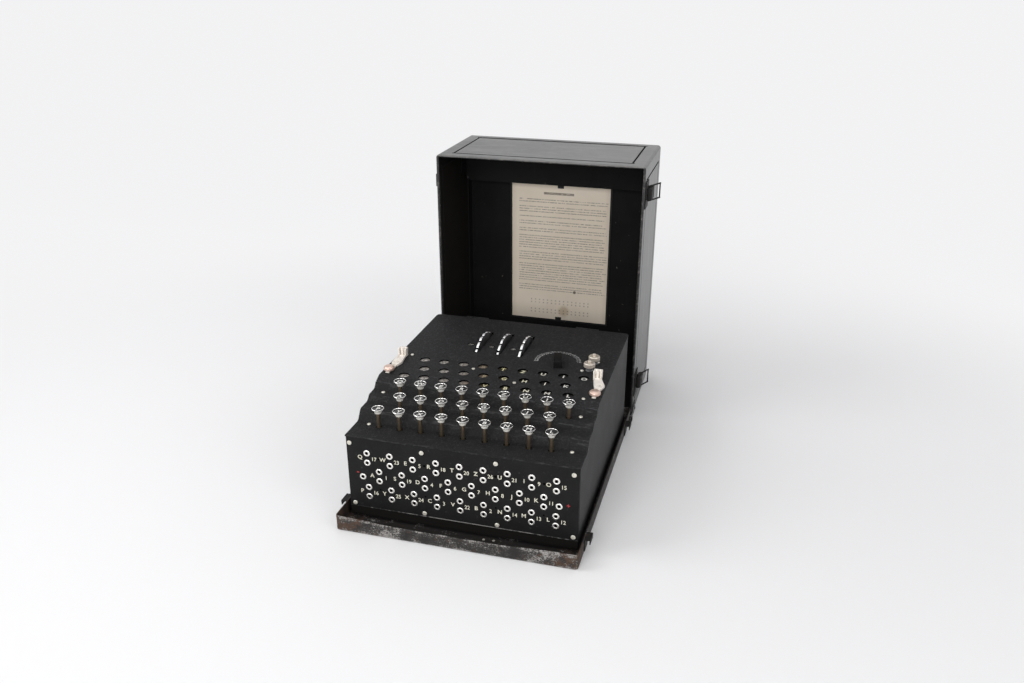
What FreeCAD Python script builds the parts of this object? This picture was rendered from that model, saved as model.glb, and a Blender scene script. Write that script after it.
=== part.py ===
import FreeCAD, Part
import Sketcher
import os
import re

# Rotor cipher machine standing open in its travel case.
# Millimetres, +Z up, +Y towards the back. The origin is the centre of the tray's underside.
# The hood stands on its rear wall behind the tray. It turns a quarter about the studs at the
# tray's rear lower corners to close over the machine.

os.makedirs("parts", exist_ok=True)
doc = FreeCAD.newDocument("rotor_cipher_machine")

SIZES = {
    # clearances
    "shaft_fit": 0.05, "moving_gap": 0.3, "lid_gap": 0.6, "cutter_margin": 1,
    # tray of the case
    "tray_length": 343.5, "tray_side_room": 5, "tray_wall_height": 18.3, "tray_gauge": 1.2,
    "tray_corner": 4,
    # hood of the case, and its hinge
    "hood_depth": 141.8, "hood_gauge": 1.5, "hood_corner": 4,
    "hinge_inset": 3.8, "stud_radius": 2.5, "stud_head_radius": 3.5, "stud_head_height": 1.4,
    "lug_gauge": 1.2, "lug_eye_radius": 3.3, "lug_reach": 22, "lug_height": 16,
    "lug_setback": 2,
    "ledge_drop": 58.5, "ledge_depth": 27, "ledge_gauge": 1.2, "ledge_corner": 8, "gusset_reach": 20,
    # instruction card
    "card_width": 143.5, "card_height": 205, "card_foot": 74, "card_gauge": 0.5, "card_offset": 1.2,
    "frame_rim": 2.5, "frame_gauge": 1.3, "frame_clearance": 0.2, "clip_width": 9, "clip_reach": 4,
    "clip_proud": 0.4,
    # draw latches and their keepers
    "latch_low": 45, "latch_head_room": 37.5, "latch_plate_length": 34, "latch_plate_near": 4,
    "latch_plate_far": 26, "latch_plate_gauge": 1.2, "latch_pivot_in": 15, "latch_pivot_out": 3.4,
    "latch_pin_radius": 0.8, "latch_ear_radius": 1.25, "latch_eye_in": 20, "latch_eye_out": 2.9,
    "lever_half_width": 8, "lever_gauge": 1.2, "lever_tip_in": 33, "lever_top_out": 6.2,
    "lever_pivot_round": 1.9,
    "lever_cheek_far": 22.5, "lever_cheek_low": 1.8,
    "bail_wire_radius": 1, "bail_lean": 28, "bail_bar_below_rim": 2.9,
    "keeper_half_width": 7.4, "keeper_gauge": 1, "keeper_foot": 3, "keeper_lip_out": 5.7,
    "keeper_lip_drop": 5.8,
    # machine box
    "panel_setback": 28.1, "machine_width": 260, "machine_depth": 298, "machine_floor": 5,
    "housing_gauge": 2.5, "foot_radius": 7, "foot_inset": 26, "cover_gauge": 1.5,
    "cover_overhang": 0.5, "cover_lip": 0.8, "rear_corner": 4.5,
    # stepped top: how far the shelves lie below the top, and the risers behind the panel
    "top_height": 133.3, "shelf_one_drop": 28.3, "shelf_two_drop": 17, "shelf_three_drop": 11,
    "riser_one_foot": 34, "riser_one_head": 42, "riser_two_foot": 60.5, "riser_two_head": 67,
    "riser_three_foot": 81.5, "seam_back": 86, "seam_drop": 4.9, "top_back": 96.5, "step_round": 4,
    # plug panel
    "panel_side_room": 0.25, "panel_gauge": 3, "panel_drop": 30.2,
    "plug_pitch": 26.47, "plug_first": -106.2, "plug_row_drop": 17.5, "plug_row_pitch": 21.39,
    "plug_pair_spacing": 11.78, "single_left": -112.4, "single_right": 108.8, "single_drop": 47.6,
    "socket_radius": 4.2, "socket_flange_height": 0.8, "socket_bore_radius": 2.2,
    "socket_length": 10, "socket_depth": 9.2,
    # keys
    "key_pitch": 24.4, "key_first": -93.8, "row_one_back": 72, "row_two_back": 50,
    "row_three_back": 26.4, "row_one_rise": 8.2, "row_two_rise": 1.4,
    "row_three_rise": -5, "key_cap_radius": 7, "key_stem_radius": 2.5, "key_cap_height": 8,
    "key_rim_height": 3.5, "key_travel": 6, "key_hole_radius": 3.4, "key_drill_length": 65,
    "bank_drop": 53.3, "bank_gauge": 8, "bank_front": 15, "bank_back": 84, "rail_width": 8,
    "rail_height": 2,
    # lamps
    "lamp_one_back": 151.3, "lamp_two_back": 127, "lamp_three_back": 103.4, "window_radius": 6,
    "film_gauge": 1, "film_margin": 10, "bulb_room": 4.8, "lamp_board_gauge": 2,
    "bulb_radius": 4.5, "bulb_height": 16,
    # rotors
    "rotor_pitch": 27.4, "rotor_right_x": 12.4, "rotor_axis_back": 223, "rotor_axis_drop": 42.5,
    "thumb_radius": 52, "thumb_width": 3.5, "notch_radius": 5, "notch_depth": 1.8, "notches": 26,
    "letter_ring_radius": 39.5, "letter_ring_near": 8, "letter_ring_width": 10,
    "rotor_core_radius": 36, "rotor_left_reach": 21, "rotor_right_reach": 4,
    "spindle_radius": 4, "wheel_gap": 1, "wheel_radius": 38, "entry_thickness": 11,
    "reflector_thickness": 18, "bracket_gauge": 2.5, "bracket_half_depth": 28,
    "bracket_rise": 30,
    # openings of the rotor cover
    "slot_length": 67, "slot_left": 3, "slot_right": 4.6, "letter_window": 7,
    "letter_window_back": 211.5,
    "cover_hinge_out": 2.8, "cover_hinge_down": 1, "knuckle_radius": 2.5, "hinge_pin_radius": 1.2,
    "knuckle_length": 15, "knuckle_near": 60,
    # controls on the cover
    "switch_x": 61.2, "switch_back": 190.1, "switch_turn": 13.5, "knob_width": 10.3,
    "knob_front": 21.1, "knob_rear": 5.9, "knob_height": 8.5, "knob_round": 1.2,
    "switch_shaft_radius": 3, "switch_shaft_length": 6,
    "terminal_front_x": 103.3, "terminal_front_back": 174, "terminal_rear_x": 105,
    "terminal_rear_back": 194, "collar_radius": 4.5, "collar_height": 4.5, "nut_radius": 6.8,
    "nut_height": 6, "terminal_stud_radius": 2, "terminal_stud_tip": 2.5,
    "catch_inset": 7.5, "catch_post_front": 150, "catch_post_back": 158, "catch_width": 10,
    "catch_height": 10.5, "catch_lean_right": -5.2, "catch_lean_left": -0.7,
    "tongue_gauge": 3, "tongue_heel_left": 4.3, "tongue_heel_back": 125.7,
    "tongue_tip_right": 4.5, "tongue_tip_back": 122.2, "tongue_edge_right": 6.8,
    "tongue_edge_back": 131.7, "strip_half_width": 3.5, "strip_gauge": 1.5,
    "catch_knob_back": 108.5, "catch_knob_radius": 6.4, "catch_knob_height": 7,
}

sheet = doc.addObject("Spreadsheet::Sheet", "Sizes")
for line, (alias, size) in enumerate(SIZES.items(), 1):
    sheet.set(f"A{line}", alias)
    sheet.set(f"B{line}", str(size))
    sheet.setAlias(f"B{line}", alias)
doc.recompute()

# Places that several pieces share, spelled with the sheet's aliases.
TRAY_HALF = "(machine_width/2 + tray_side_room + tray_gauge)"
PANEL = "(-tray_length/2 + panel_setback)"
HINGE_Y = "(tray_length/2 - hinge_inset)"
HINGE_Z = "hinge_inset"
HOOD_OPEN = f"({HINGE_Y} + tray_wall_height + lid_gap - {HINGE_Z})"
HOOD_BACK = f"({HOOD_OPEN} + hood_depth)"
HOOD_SIDE = f"({TRAY_HALF} + moving_gap)"
TOP_UNDER = "(top_height - cover_gauge)"
SHELF_ONE = "(top_height - shelf_one_drop)"
SHELF_TWO = "(top_height - shelf_two_drop)"
SHELF_THREE = "(top_height - shelf_three_drop)"
SEAM_HEIGHT = "(top_height - seam_drop)"
PANEL_TOP = "(top_height - panel_drop)"
BANK_TOP = "(top_height - bank_drop)"
ROTOR_Y = f"({PANEL} + rotor_axis_back)"
ROTOR_Z = "(top_height - rotor_axis_drop)"
COVER_AXIS_Y = f"({PANEL} + machine_depth + cover_hinge_out)"
COVER_AXIS_Z = f"({TOP_UNDER} - cover_hinge_down)"
INNER_HALF = "(machine_width/2 - housing_gauge)"
PANEL_HALF = "(machine_width/2 - panel_side_room)"
COVER_HALF = "(machine_width/2 + cover_overhang)"
CATCH_X = "(machine_width/2 - catch_inset)"
LATCH_HEIGHTS = {"rear": "latch_low", "front": "(tray_length - latch_head_room)"}
LAMP_BOARD_TOP = f"({TOP_UNDER} - film_gauge - bulb_room - bulb_height)"
MASK_BACK = f"({PANEL} + lamp_one_back + film_margin)"

TURNS = {
    "x": FreeCAD.Rotation(FreeCAD.Vector(0, 1, 0), 90),
    "y": FreeCAD.Rotation(FreeCAD.Vector(1, 0, 0), -90),
    "z": FreeCAD.Rotation(),
}


def bound(formula):
    """The formula with each alias read from the sheet."""
    spell = lambda word: "Sizes." + word.group() if word.group() in SIZES else word.group()
    return re.sub(r"[a-z]+(_[a-z]+)*", spell, str(formula))


def value(formula):
    """The formula's number now."""
    return float(sheet.evalExpression(bound(formula)))


def back(distance):
    """A place behind the outside of the plug panel."""
    return f"({PANEL} + {distance})"


def place(thing, x=0, y=0, z=0):
    """Bind the place of an object."""
    for axis, formula in zip("xyz", (x, y, z)):
        thing.setExpression("Placement.Base." + axis, bound(formula))
    return thing


def block(x0, x1, y0, y1, z0, z1):
    """A box between two corners."""
    solid = doc.addObject("Part::Box", "block")
    for side, low, high in (("Length", x0, x1), ("Width", y0, y1), ("Height", z0, z1)):
        solid.setExpression(side, bound(f"({high}) - ({low})"))
    return place(solid, x0, y0, z0)


def rod(axis, x, y, z, radius, length):
    """A cylinder that starts at a point and runs along an axis."""
    solid = doc.addObject("Part::Cylinder", "rod")
    solid.Placement.Rotation = TURNS[axis]
    solid.setExpression("Radius", bound(radius))
    solid.setExpression("Height", bound(length))
    return place(solid, x, y, z)


def prism(axis, x, y, z, radius, length, sides=6):
    """A regular prism that starts at a point and runs along an axis."""
    solid = doc.addObject("Part::Prism", "prism")
    solid.Polygon = sides
    solid.Placement.Rotation = TURNS[axis]
    solid.setExpression("Circumradius", bound(radius))
    solid.setExpression("Height", bound(length))
    return place(solid, x, y, z)


def turned(solid, degrees):
    """Turn a solid about the Z axis through its place."""
    solid.Placement.Rotation = FreeCAD.Rotation(FreeCAD.Vector(0, 0, 1), degrees)
    return solid


def tapered(name, z0, radius0, z1, radius1, sides):
    """A solid on the Z axis with flat sides that run from one regular outline to another."""
    rings = []
    for z, radius in ((z0, radius0), (z1, radius1)):
        ring = []
        for step in range(sides):
            spoke = FreeCAD.Vector(value(radius), 0, value(z))
            ring.append(FreeCAD.Rotation(FreeCAD.Vector(0, 0, 1), 360 * step / sides).multVec(spoke))
        rings.append(ring)
    low, high = rings
    outlines = [low, high]
    for step in range(sides):
        after = (step + 1) % sides
        outlines.append([low[step], low[after], high[after], high[step]])
    faces = [Part.Face(Part.makePolygon(outline + outline[:1])) for outline in outlines]
    feature = doc.addObject("Part::Feature", name)
    feature.Shape = Part.makeSolid(Part.makeShell(faces))
    return feature


def around(radius, sides):
    """The corner radius of a regular hole whose flats clear a round pin of some radius."""
    return f"({radius}) / cos({180 / sides})"


def joined(name, solids):
    """Solids fused into one object."""
    fuse = doc.addObject("Part::MultiFuse", name)
    fuse.Shapes = solids
    fuse.Refine = True
    return fuse


def grouped(name, things):
    """Separate solids kept together in one object."""
    group = doc.addObject("Part::Compound", name)
    group.Links = things
    return group


def trimmed(name, base, tools):
    """A base with tools cut out of it."""
    cut = doc.addObject("Part::Cut", name)
    cut.Base = base
    cut.Tool = tools[0] if len(tools) == 1 else grouped(name + "_cutters", tools)
    cut.Refine = True
    return cut


def mirrored(name, source):
    """The source on the other side of the machine."""
    twin = doc.addObject("Part::Mirroring", name)
    twin.Source = source
    twin.Normal = FreeCAD.Vector(1, 0, 0)
    return twin


def repeated(name, blank, places):
    """Copies of a blank at a list of places, in one object."""
    doc.recompute()
    copies = []
    for x, y, z in places:
        copies.append(blank.Shape.translated(FreeCAD.Vector(value(x), value(y), value(z))))
    feature = doc.addObject("Part::Feature", name)
    feature.Shape = Part.makeCompound(copies)
    return feature


def origin_part(body, role):
    """A plane or axis of a body's own origin."""
    return [part for part in body.Origin.OriginFeatures if part.Role == role][0]


def sketch_on(body, role, offset="0"):
    """An empty sketch on one of a body's origin planes."""
    sketch = body.newObject("Sketcher::SketchObject", body.Name + "_sketch")
    sketch.AttachmentSupport = (origin_part(body, role), [""])
    sketch.MapMode = "FlatFace"
    sketch.setExpression("AttachmentOffset.Base.z", bound(offset))
    return sketch


def polygon(sketch, points):
    """A closed outline whose corners are bound to formulas."""
    places = [FreeCAD.Vector(value(a), value(b), 0) for a, b in points]
    first = sketch.GeometryCount
    for here, there in zip(places, places[1:] + places[:1]):
        sketch.addGeometry(Part.LineSegment(here, there), False)
    bond = Sketcher.Constraint
    for step, (across, up) in enumerate(points):
        line = first + step
        after = first + (step + 1) % len(points)
        sketch.addConstraint(bond("Coincident", line, 2, after, 1))
        for kind, formula in (("DistanceX", across), ("DistanceY", up)):
            number = sketch.addConstraint(bond(kind, -1, 1, line, 1, value(formula)))
            sketch.setExpression(f"Constraints[{number}]", bound(formula))


def rectangle(sketch, x0, x1, y0, y1):
    """A rectangle between two corners."""
    polygon(sketch, [(x0, y0), (x1, y0), (x1, y1), (x0, y1)])


def pad(body, sketch, length, both_ways=False):
    """Material raised from a sketch."""
    feature = body.newObject("PartDesign::Pad", body.Name + "_pad")
    feature.Profile = sketch
    feature.setExpression("Length", bound(length))
    if both_ways:
        feature.SideType = "Symmetric"
    return feature


def pocket(body, sketch, length, reversed_way=False):
    """Material taken out under a sketch."""
    feature = body.newObject("PartDesign::Pocket", body.Name + "_pocket")
    feature.Profile = sketch
    feature.setExpression("Length", bound(length))
    feature.Reversed = reversed_way
    return feature


def rounded(body, radius, wanted):
    """Fillets on the edges of a body that a test picks."""
    doc.recompute()
    tip = body.Tip
    names = [f"Edge{n}" for n, edge in enumerate(tip.Shape.Edges, 1) if wanted(edge)]
    feature = body.newObject("PartDesign::Fillet", body.Name + "_fillet")
    feature.Base = (tip, names)
    feature.setExpression("Radius", bound(radius))
    return feature


def runs_along(edge, axis):
    """True for a straight edge along one axis."""
    start, end = edge.Vertexes[0].Point, edge.Vertexes[-1].Point
    move = end - start
    others = [abs(getattr(move, letter)) for letter in "xyz" if letter != axis]
    return max(others) < 1e-6 and abs(getattr(move, axis)) > 1e-6


def at_points(edge, points):
    """True for an edge along X through one of some (y, z) points."""
    here = edge.Vertexes[0].Point
    return runs_along(edge, "x") and any(
        abs(here.y - y) < 1e-4 and abs(here.z - z) < 1e-4 for y, z in points
    )


def new_body(name):
    """A new body."""
    return doc.addObject("PartDesign::Body", name)


# ---------------------------------------------------------------- case tray

def base_tray():
    """Shallow pan with rounded corners, open at the top."""
    body = new_body("base_tray")
    outside = sketch_on(body, "XY_Plane")
    rectangle(outside, f"-{TRAY_HALF}", TRAY_HALF, "-tray_length/2", "tray_length/2")
    pad(body, outside, "tray_wall_height")
    rounded(body, "tray_corner", lambda edge: runs_along(edge, "z"))
    inside = sketch_on(body, "XY_Plane", "tray_gauge")
    half = f"({TRAY_HALF} - tray_gauge)"
    rectangle(inside, f"-{half}", half, "-(tray_length/2 - tray_gauge)", "tray_length/2 - tray_gauge")
    pocket(body, inside, "tray_wall_height", reversed_way=True)
    inner = value(half)
    corner = lambda edge: runs_along(edge, "z") and abs(abs(edge.Vertexes[0].X) - inner) < 1e-6
    rounded(body, "tray_corner - tray_gauge", corner)
    return body


def keeper():
    """Hook bent from sheet, on the right wall of the tray: up, outward and down again."""
    body = new_body("keeper")
    outline = sketch_on(body, "XZ_Plane")
    wall = TRAY_HALF
    top = "(tray_wall_height - moving_gap)"
    polygon(outline, [
        (wall, "keeper_foot"),
        (f"{wall} + keeper_gauge", "keeper_foot"),
        (f"{wall} + keeper_gauge", f"{top} - keeper_gauge"),
        (f"{wall} + keeper_lip_out", f"{top} - keeper_gauge"),
        (f"{wall} + keeper_lip_out", f"{top} - keeper_lip_drop"),
        (f"{wall} + keeper_lip_out + keeper_gauge", f"{top} - keeper_lip_drop"),
        (f"{wall} + keeper_lip_out + keeper_gauge", top),
        (wall, top),
    ])
    pad(body, outline, "2*keeper_half_width", both_ways=True)
    return body


def tray_fittings():
    """Four keepers on the side walls, and the two studs that the hood turns on."""
    right = keeper()
    left = mirrored("keeper_left", right)
    pieces = []
    for side in (right, left):
        for height in LATCH_HEIGHTS.values():
            hook = grouped("keeper_at", [side])
            pieces.append(place(hook, 0, f"{HINGE_Y} + {HINGE_Z} - {height}", 0))
    shaft_length = "moving_gap + lug_gauge + moving_gap + stud_head_height"
    shaft = rod("x", TRAY_HALF, HINGE_Y, HINGE_Z, "stud_radius", shaft_length)
    head = prism("x", f"{TRAY_HALF} + 2*moving_gap + lug_gauge", HINGE_Y, HINGE_Z,
                 "stud_head_radius", "stud_head_height", 12)
    stud = joined("hinge_stud", [shaft, head])
    pieces += [stud, mirrored("hinge_stud_left", stud)]
    return grouped("tray_fittings", pieces)


# ---------------------------------------------------------------- case hood

def hood_lug():
    """Plate on the right side of the hood that reaches forward to the hinge stud."""
    inner, outer = HOOD_SIDE, f"{HOOD_SIDE} + lug_gauge"
    arm = block(inner, outer, HINGE_Y, f"{HOOD_OPEN} + lug_reach",
                f"{HINGE_Z} - lug_eye_radius", f"{HINGE_Z} + lug_eye_radius")
    pad_plate = block(inner, outer, f"{HOOD_OPEN} + lug_setback", f"{HOOD_OPEN} + lug_reach",
                      f"{HINGE_Z} - lug_eye_radius", "lug_height")
    eye = prism("x", inner, HINGE_Y, HINGE_Z, around("lug_eye_radius", 16), "lug_gauge", 16)
    bore = rod("x", inner, HINGE_Y, HINGE_Z, "stud_radius + shaft_fit", "lug_gauge")
    return trimmed("hood_lug", joined("hood_lug_blank", [arm, pad_plate, eye]), [bore])


def hood_ledge():
    """Flat ledge below the hood's front wall, with rounded lower corners."""
    body = new_body("hood_ledge")
    outline = sketch_on(body, "XZ_Plane", f"-({HOOD_BACK} - ledge_depth)")
    inner = f"{HOOD_SIDE} - hood_gauge"
    rectangle(outline, f"-({inner})", inner, "tray_length - ledge_drop", "tray_length - hood_gauge")
    pad(body, outline, "ledge_gauge")
    low = value("tray_length - ledge_drop")
    corner = lambda edge: runs_along(edge, "y") and abs(edge.Vertexes[0].Z - low) < 1e-6
    rounded(body, "ledge_corner", corner)
    return body


def hood_gusset():
    """Narrow plate on the hood's right wall that carries the ledge."""
    inner = f"{HOOD_SIDE} - hood_gauge"
    face = f"{HOOD_BACK} - ledge_depth"
    return block(f"{inner} - ledge_gauge", inner, f"{face} - gusset_reach", face,
                 "tray_length - ledge_drop + ledge_corner", "tray_length - hood_gauge")


def case_hood():
    """Deep lid, open towards the machine, with its ledge, gussets and hinge lugs."""
    body = new_body("hood_shell")
    outside = sketch_on(body, "XZ_Plane", f"-{HOOD_BACK}")
    rectangle(outside, f"-{HOOD_SIDE}", HOOD_SIDE, "0", "tray_length")
    pad(body, outside, "hood_depth")
    rounded(body, "hood_corner", lambda edge: runs_along(edge, "y"))
    inside = sketch_on(body, "XZ_Plane", f"-{HOOD_OPEN}")
    inner = f"{HOOD_SIDE} - hood_gauge"
    rectangle(inside, f"-({inner})", inner, "hood_gauge", "tray_length - hood_gauge")
    pocket(body, inside, "hood_depth - hood_gauge")
    edge_x = value(inner)
    corner = lambda edge: runs_along(edge, "y") and abs(abs(edge.Vertexes[0].X) - edge_x) < 1e-6
    rounded(body, "hood_corner - hood_gauge", corner)
    lug = hood_lug()
    gusset = hood_gusset()
    pieces = [body, hood_ledge(), gusset, mirrored("hood_gusset_left", gusset)]
    pieces += [lug, mirrored("hood_lug_left", lug)]
    return joined("case_hood", pieces)


def instruction_card():
    """Card that lies on the hood's back wall."""
    wall = f"{HOOD_BACK} - hood_gauge"
    return relabelled("instruction_card", block(
        "-card_width/2 - card_offset", "card_width/2 - card_offset",
        f"{wall} - card_gauge", wall, "card_foot", "card_foot + card_height"))


def card_frame():
    """Thin rim round the card, with a clip at the middle of its top and foot."""
    wall = f"{HOOD_BACK} - hood_gauge"
    left, right = "-card_width/2 - card_offset", "card_width/2 - card_offset"
    foot, head = "card_foot", "card_foot + card_height"
    rim, ease = "frame_rim", "frame_clearance"
    outer = block(f"{left} - {rim}", f"{right} + {rim}", f"{wall} - frame_gauge", wall,
                  f"{foot} - {rim}", f"{head} + {rim}")
    hole = block(f"{left} - {ease}", f"{right} + {ease}", f"{wall} - 2*frame_gauge",
                 f"{wall} + cutter_margin",
                 f"{foot} - {ease}", f"{head} + {ease}")
    ring = trimmed("card_rim", outer, [hole])
    clips = []
    for low, high in ((f"{foot} - {rim}", f"{foot} + clip_reach"),
                      (f"{head} - clip_reach", f"{head} + {rim}")):
        clips.append(block("-clip_width/2 - card_offset", "clip_width/2 - card_offset",
                           f"{wall} - frame_gauge - clip_proud", f"{wall} - card_gauge", low, high))
    return joined("card_frame", [ring] + clips)


# ---------------------------------------------------------------- draw latches

def latch_point(inward, outward):
    """A place on the right side of the hood: distance from the opening edge, and outward."""
    return f"({HOOD_SIDE} + {outward})", f"({HOOD_OPEN} + {inward})"


def latch_plate():
    """Base plate with two ears and the pin of the lever, at height zero."""
    plate = block(HOOD_SIDE, f"{HOOD_SIDE} + latch_plate_gauge",
                  f"{HOOD_OPEN} + latch_plate_near", f"{HOOD_OPEN} + latch_plate_far",
                  "-latch_plate_length/2", "latch_plate_length/2")
    x, y = latch_point("latch_pivot_in", "latch_pivot_out")
    half = "(latch_ear_radius * cos(22.5))"
    outer_ear = "(lever_half_width - lever_gauge - moving_gap)"
    pieces = [plate]
    for low in (f"{outer_ear} - lever_gauge", f"-{outer_ear}"):
        pieces.append(block(HOOD_SIDE, x, f"{y} - {half}", f"{y} + {half}",
                            low, f"{low} + lever_gauge"))
        head = prism("z", x, y, low, "latch_ear_radius", "lever_gauge", 8)
        pieces.append(turned(head, 22.5))
    pieces.append(prism("z", x, y, "-lever_half_width", "latch_pin_radius", "2*lever_half_width", 8))
    return joined("latch_plate", pieces)


def latch_lever():
    """Folded lever: a flat top between two cheeks, bored for its pin and for the bail."""
    pivot_x, pivot_y = latch_point("latch_pivot_in", "latch_pivot_out")
    eye_x, eye_y = latch_point("latch_eye_in", "latch_eye_out")
    top_x, tip_y = latch_point("lever_tip_in", "lever_top_out")
    low_x, far_y = latch_point("lever_cheek_far", "lever_cheek_low")
    under = f"{top_x} - lever_gauge"
    top = block(under, top_x, pivot_y, tip_y, "-lever_half_width", "lever_half_width")
    pieces = [top]
    for low in ("-lever_half_width", "lever_half_width - lever_gauge"):
        high = f"{low} + lever_gauge"
        pieces.append(prism("z", pivot_x, pivot_y, low, "lever_pivot_round", "lever_gauge", 8))
        pieces.append(block(low_x, under, pivot_y, far_y, low, high))
    cutters = []
    for x, y in ((pivot_x, pivot_y), (eye_x, eye_y)):
        cutters.append(prism("z", x, y, "-lever_half_width - cutter_margin",
                             around("latch_pin_radius + shaft_fit", 8),
                             "2*lever_half_width + 2*cutter_margin", 8))
    return trimmed("latch_lever", joined("latch_lever_blank", pieces), cutters)


def latch_bail():
    """Wire bail that leans out from the hood: two arms, a bar, and pins in the lever's cheeks."""
    eye_x, eye_y = latch_point("latch_eye_in", "latch_eye_out")
    wire = "bail_wire_radius"
    reach = "(latch_eye_in + bail_bar_below_rim)"
    arm_z = f"(lever_half_width + moving_gap + {wire})"
    pieces = []
    for side in ("-", ""):
        pieces.append(prism("y", 0, f"-{wire}", f"{side}{arm_z}", wire, f"{reach} + 2*{wire}", 6))
    pieces.append(prism("z", 0, reach, f"-{arm_z}", wire, f"2*{arm_z}", 6))
    pin_length = f"(lever_gauge + moving_gap + {wire})"
    for low in (f"-{arm_z}", f"{arm_z} - {pin_length}"):
        pieces.append(prism("z", 0, 0, low, "latch_pin_radius", pin_length, 8))
    leaning = grouped("latch_bail", [joined("bail_loop", pieces)])
    leaning.Placement.Rotation = FreeCAD.Rotation(FreeCAD.Vector(0, 0, 1), -value("bail_lean"))
    return place(leaning, eye_x, eye_y, 0)


def latches():
    """Base plates in one node. A lever and a bail for each of the four corners."""
    blanks = {"plate": latch_plate(), "lever": latch_lever(), "bail": latch_bail()}
    nodes, plates = [], []
    for side in ("right", "left"):
        for end, height in LATCH_HEIGHTS.items():
            for kind, blank in blanks.items():
                source = blank
                if side == "left":
                    source = mirrored(f"{kind}_mirror", blank)
                if kind == "plate":
                    plates.append(place(grouped("plate_at", [source]), 0, 0, height))
                else:
                    name = f"latch_{kind}_{side}_{end}"
                    nodes.append(place(grouped(name, [source]), 0, 0, height))
    return [grouped("latch_plates", plates)] + nodes


# ---------------------------------------------------------------- machine box

def ridge(lower="0"):
    """The stepped outline from the front edge to the seam, as (y, z) formulas."""
    points = [("riser_one_foot", SHELF_ONE), ("riser_one_head", SHELF_TWO),
              ("riser_two_foot", SHELF_TWO), ("riser_two_head", SHELF_THREE),
              ("riser_three_foot", SHELF_THREE), ("seam_back", SEAM_HEIGHT)]
    return [(back(y), f"{z} - {lower}") for y, z in points]


def steps_to_round(lower="0"):
    """The five corners of the steps, as numbers."""
    return [(value(y), value(z)) for y, z in ridge(lower)[:5]]


def at_rear(edge):
    """True for an upright edge at the back of the machine."""
    return runs_along(edge, "z") and edge.Vertexes[0].Y > value(back("machine_depth - rear_corner"))


def machine_housing():
    """Side walls that follow the stepped top, floor, rear wall, feet and hinge knuckles."""
    body = new_body("housing_shell")
    outline = sketch_on(body, "YZ_Plane")
    lower = "cover_gauge"
    polygon(outline, [(back("0"), "machine_floor"), (back("0"), f"{SHELF_ONE} - {lower}")]
            + ridge(lower)
            + [(back("seam_back"), f"{SEAM_HEIGHT} - cover_gauge - moving_gap"),
               (back("top_back"), f"{TOP_UNDER} - moving_gap"),
               (back("machine_depth"), f"{TOP_UNDER} - moving_gap"),
               (back("machine_depth"), "machine_floor")])
    pad(body, outline, "machine_width", both_ways=True)
    corners = steps_to_round(lower)
    rounded(body, "step_round", lambda edge: at_points(edge, corners))
    rounded(body, "rear_corner", at_rear)
    hollow = block(f"-{INNER_HALF}", INNER_HALF, back("-cutter_margin"),
                   back("machine_depth - housing_gauge"),
                   "machine_floor + housing_gauge", "top_height")
    panel_bed = block(f"-{COVER_HALF}", COVER_HALF, back("-cutter_margin"),
                      back("panel_gauge"), "0", "top_height")
    shell = trimmed("housing_walls", body, [hollow, panel_bed])
    pieces = [shell]
    for x in ("-(machine_width/2 - foot_inset)", "machine_width/2 - foot_inset"):
        for y in (back("foot_inset"), back("machine_depth - foot_inset")):
            pieces.append(prism("z", x, y, "tray_gauge", "foot_radius",
                                "machine_floor - tray_gauge", 12))
    knuckle = joined("housing_knuckle", [
        prism("x", "knuckle_near", COVER_AXIS_Y, COVER_AXIS_Z, "knuckle_radius",
              "knuckle_length", 12),
        rod("x", "knuckle_near", COVER_AXIS_Y, COVER_AXIS_Z, "hinge_pin_radius",
            "2*knuckle_length + moving_gap"),
        block("knuckle_near", "knuckle_near + knuckle_length", back("machine_depth"), COVER_AXIS_Y,
              f"{COVER_AXIS_Z} - knuckle_radius", COVER_AXIS_Z),
    ])
    pieces += [knuckle, mirrored("housing_knuckle_left", knuckle)]
    return joined("machine_housing", pieces)


def keyboard_cover():
    """Stepped sheet over the keys, with a bore for each key stem."""
    body = new_body("keyboard_sheet")
    outline = sketch_on(body, "YZ_Plane")
    top, under = ridge(), ridge("cover_gauge")
    front = back("-cover_lip")
    polygon(outline, [(front, SHELF_ONE)] + top + under[::-1]
            + [(front, f"{SHELF_ONE} - cover_gauge")])
    pad(body, outline, f"2*{COVER_HALF}", both_ways=True)
    corners = steps_to_round() + steps_to_round("cover_gauge")
    rounded(body, "step_round", lambda edge: at_points(edge, corners))
    bores = []
    for x, y, top_z in key_places().values():
        bores.append(prism("z", x, y, BANK_TOP, "key_hole_radius", "key_drill_length"))
    return trimmed("keyboard_cover", body, bores)


# ---------------------------------------------------------------- plug panel

def plug_places():
    """Centres of the sockets as (x, z) formulas: 26 pairs in three rows, and two singles."""
    places = []
    for row, (count, shift) in enumerate(((9, "0"), (8, "0.5"), (9, "0"))):
        for step in range(count):
            x = f"plug_first + plug_pitch*({step} + {shift})"
            z = f"{PANEL_TOP} - plug_row_drop - {row}*plug_row_pitch"
            places += [(x, z), (x, f"{z} - plug_pair_spacing")]
    single_z = f"{PANEL_TOP} - single_drop"
    return places + [("single_left", single_z), ("single_right", single_z)]


def socket_blank():
    """Six-sided socket bush, its mouth proud of the panel's face, at x = z = 0."""
    mouth = back("-socket_flange_height")
    bush = prism("y", 0, mouth, 0, "socket_radius", "socket_length")
    bore = prism("y", 0, mouth, 0, "socket_bore_radius", "socket_depth")
    return trimmed("socket_blank", bush, [bore])


def plug_panel():
    """Front plate with a hole for each socket."""
    plate = block(f"-{PANEL_HALF}", PANEL_HALF, back("0"), back("panel_gauge"),
                  "machine_floor", PANEL_TOP)
    drill = prism("y", 0, back("-cutter_margin"), 0, "socket_radius",
                  "panel_gauge + 2*cutter_margin")
    holes = repeated("socket_holes", drill, [(x, "0", z) for x, z in plug_places()])
    return trimmed("plug_panel", plate, [holes])


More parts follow.
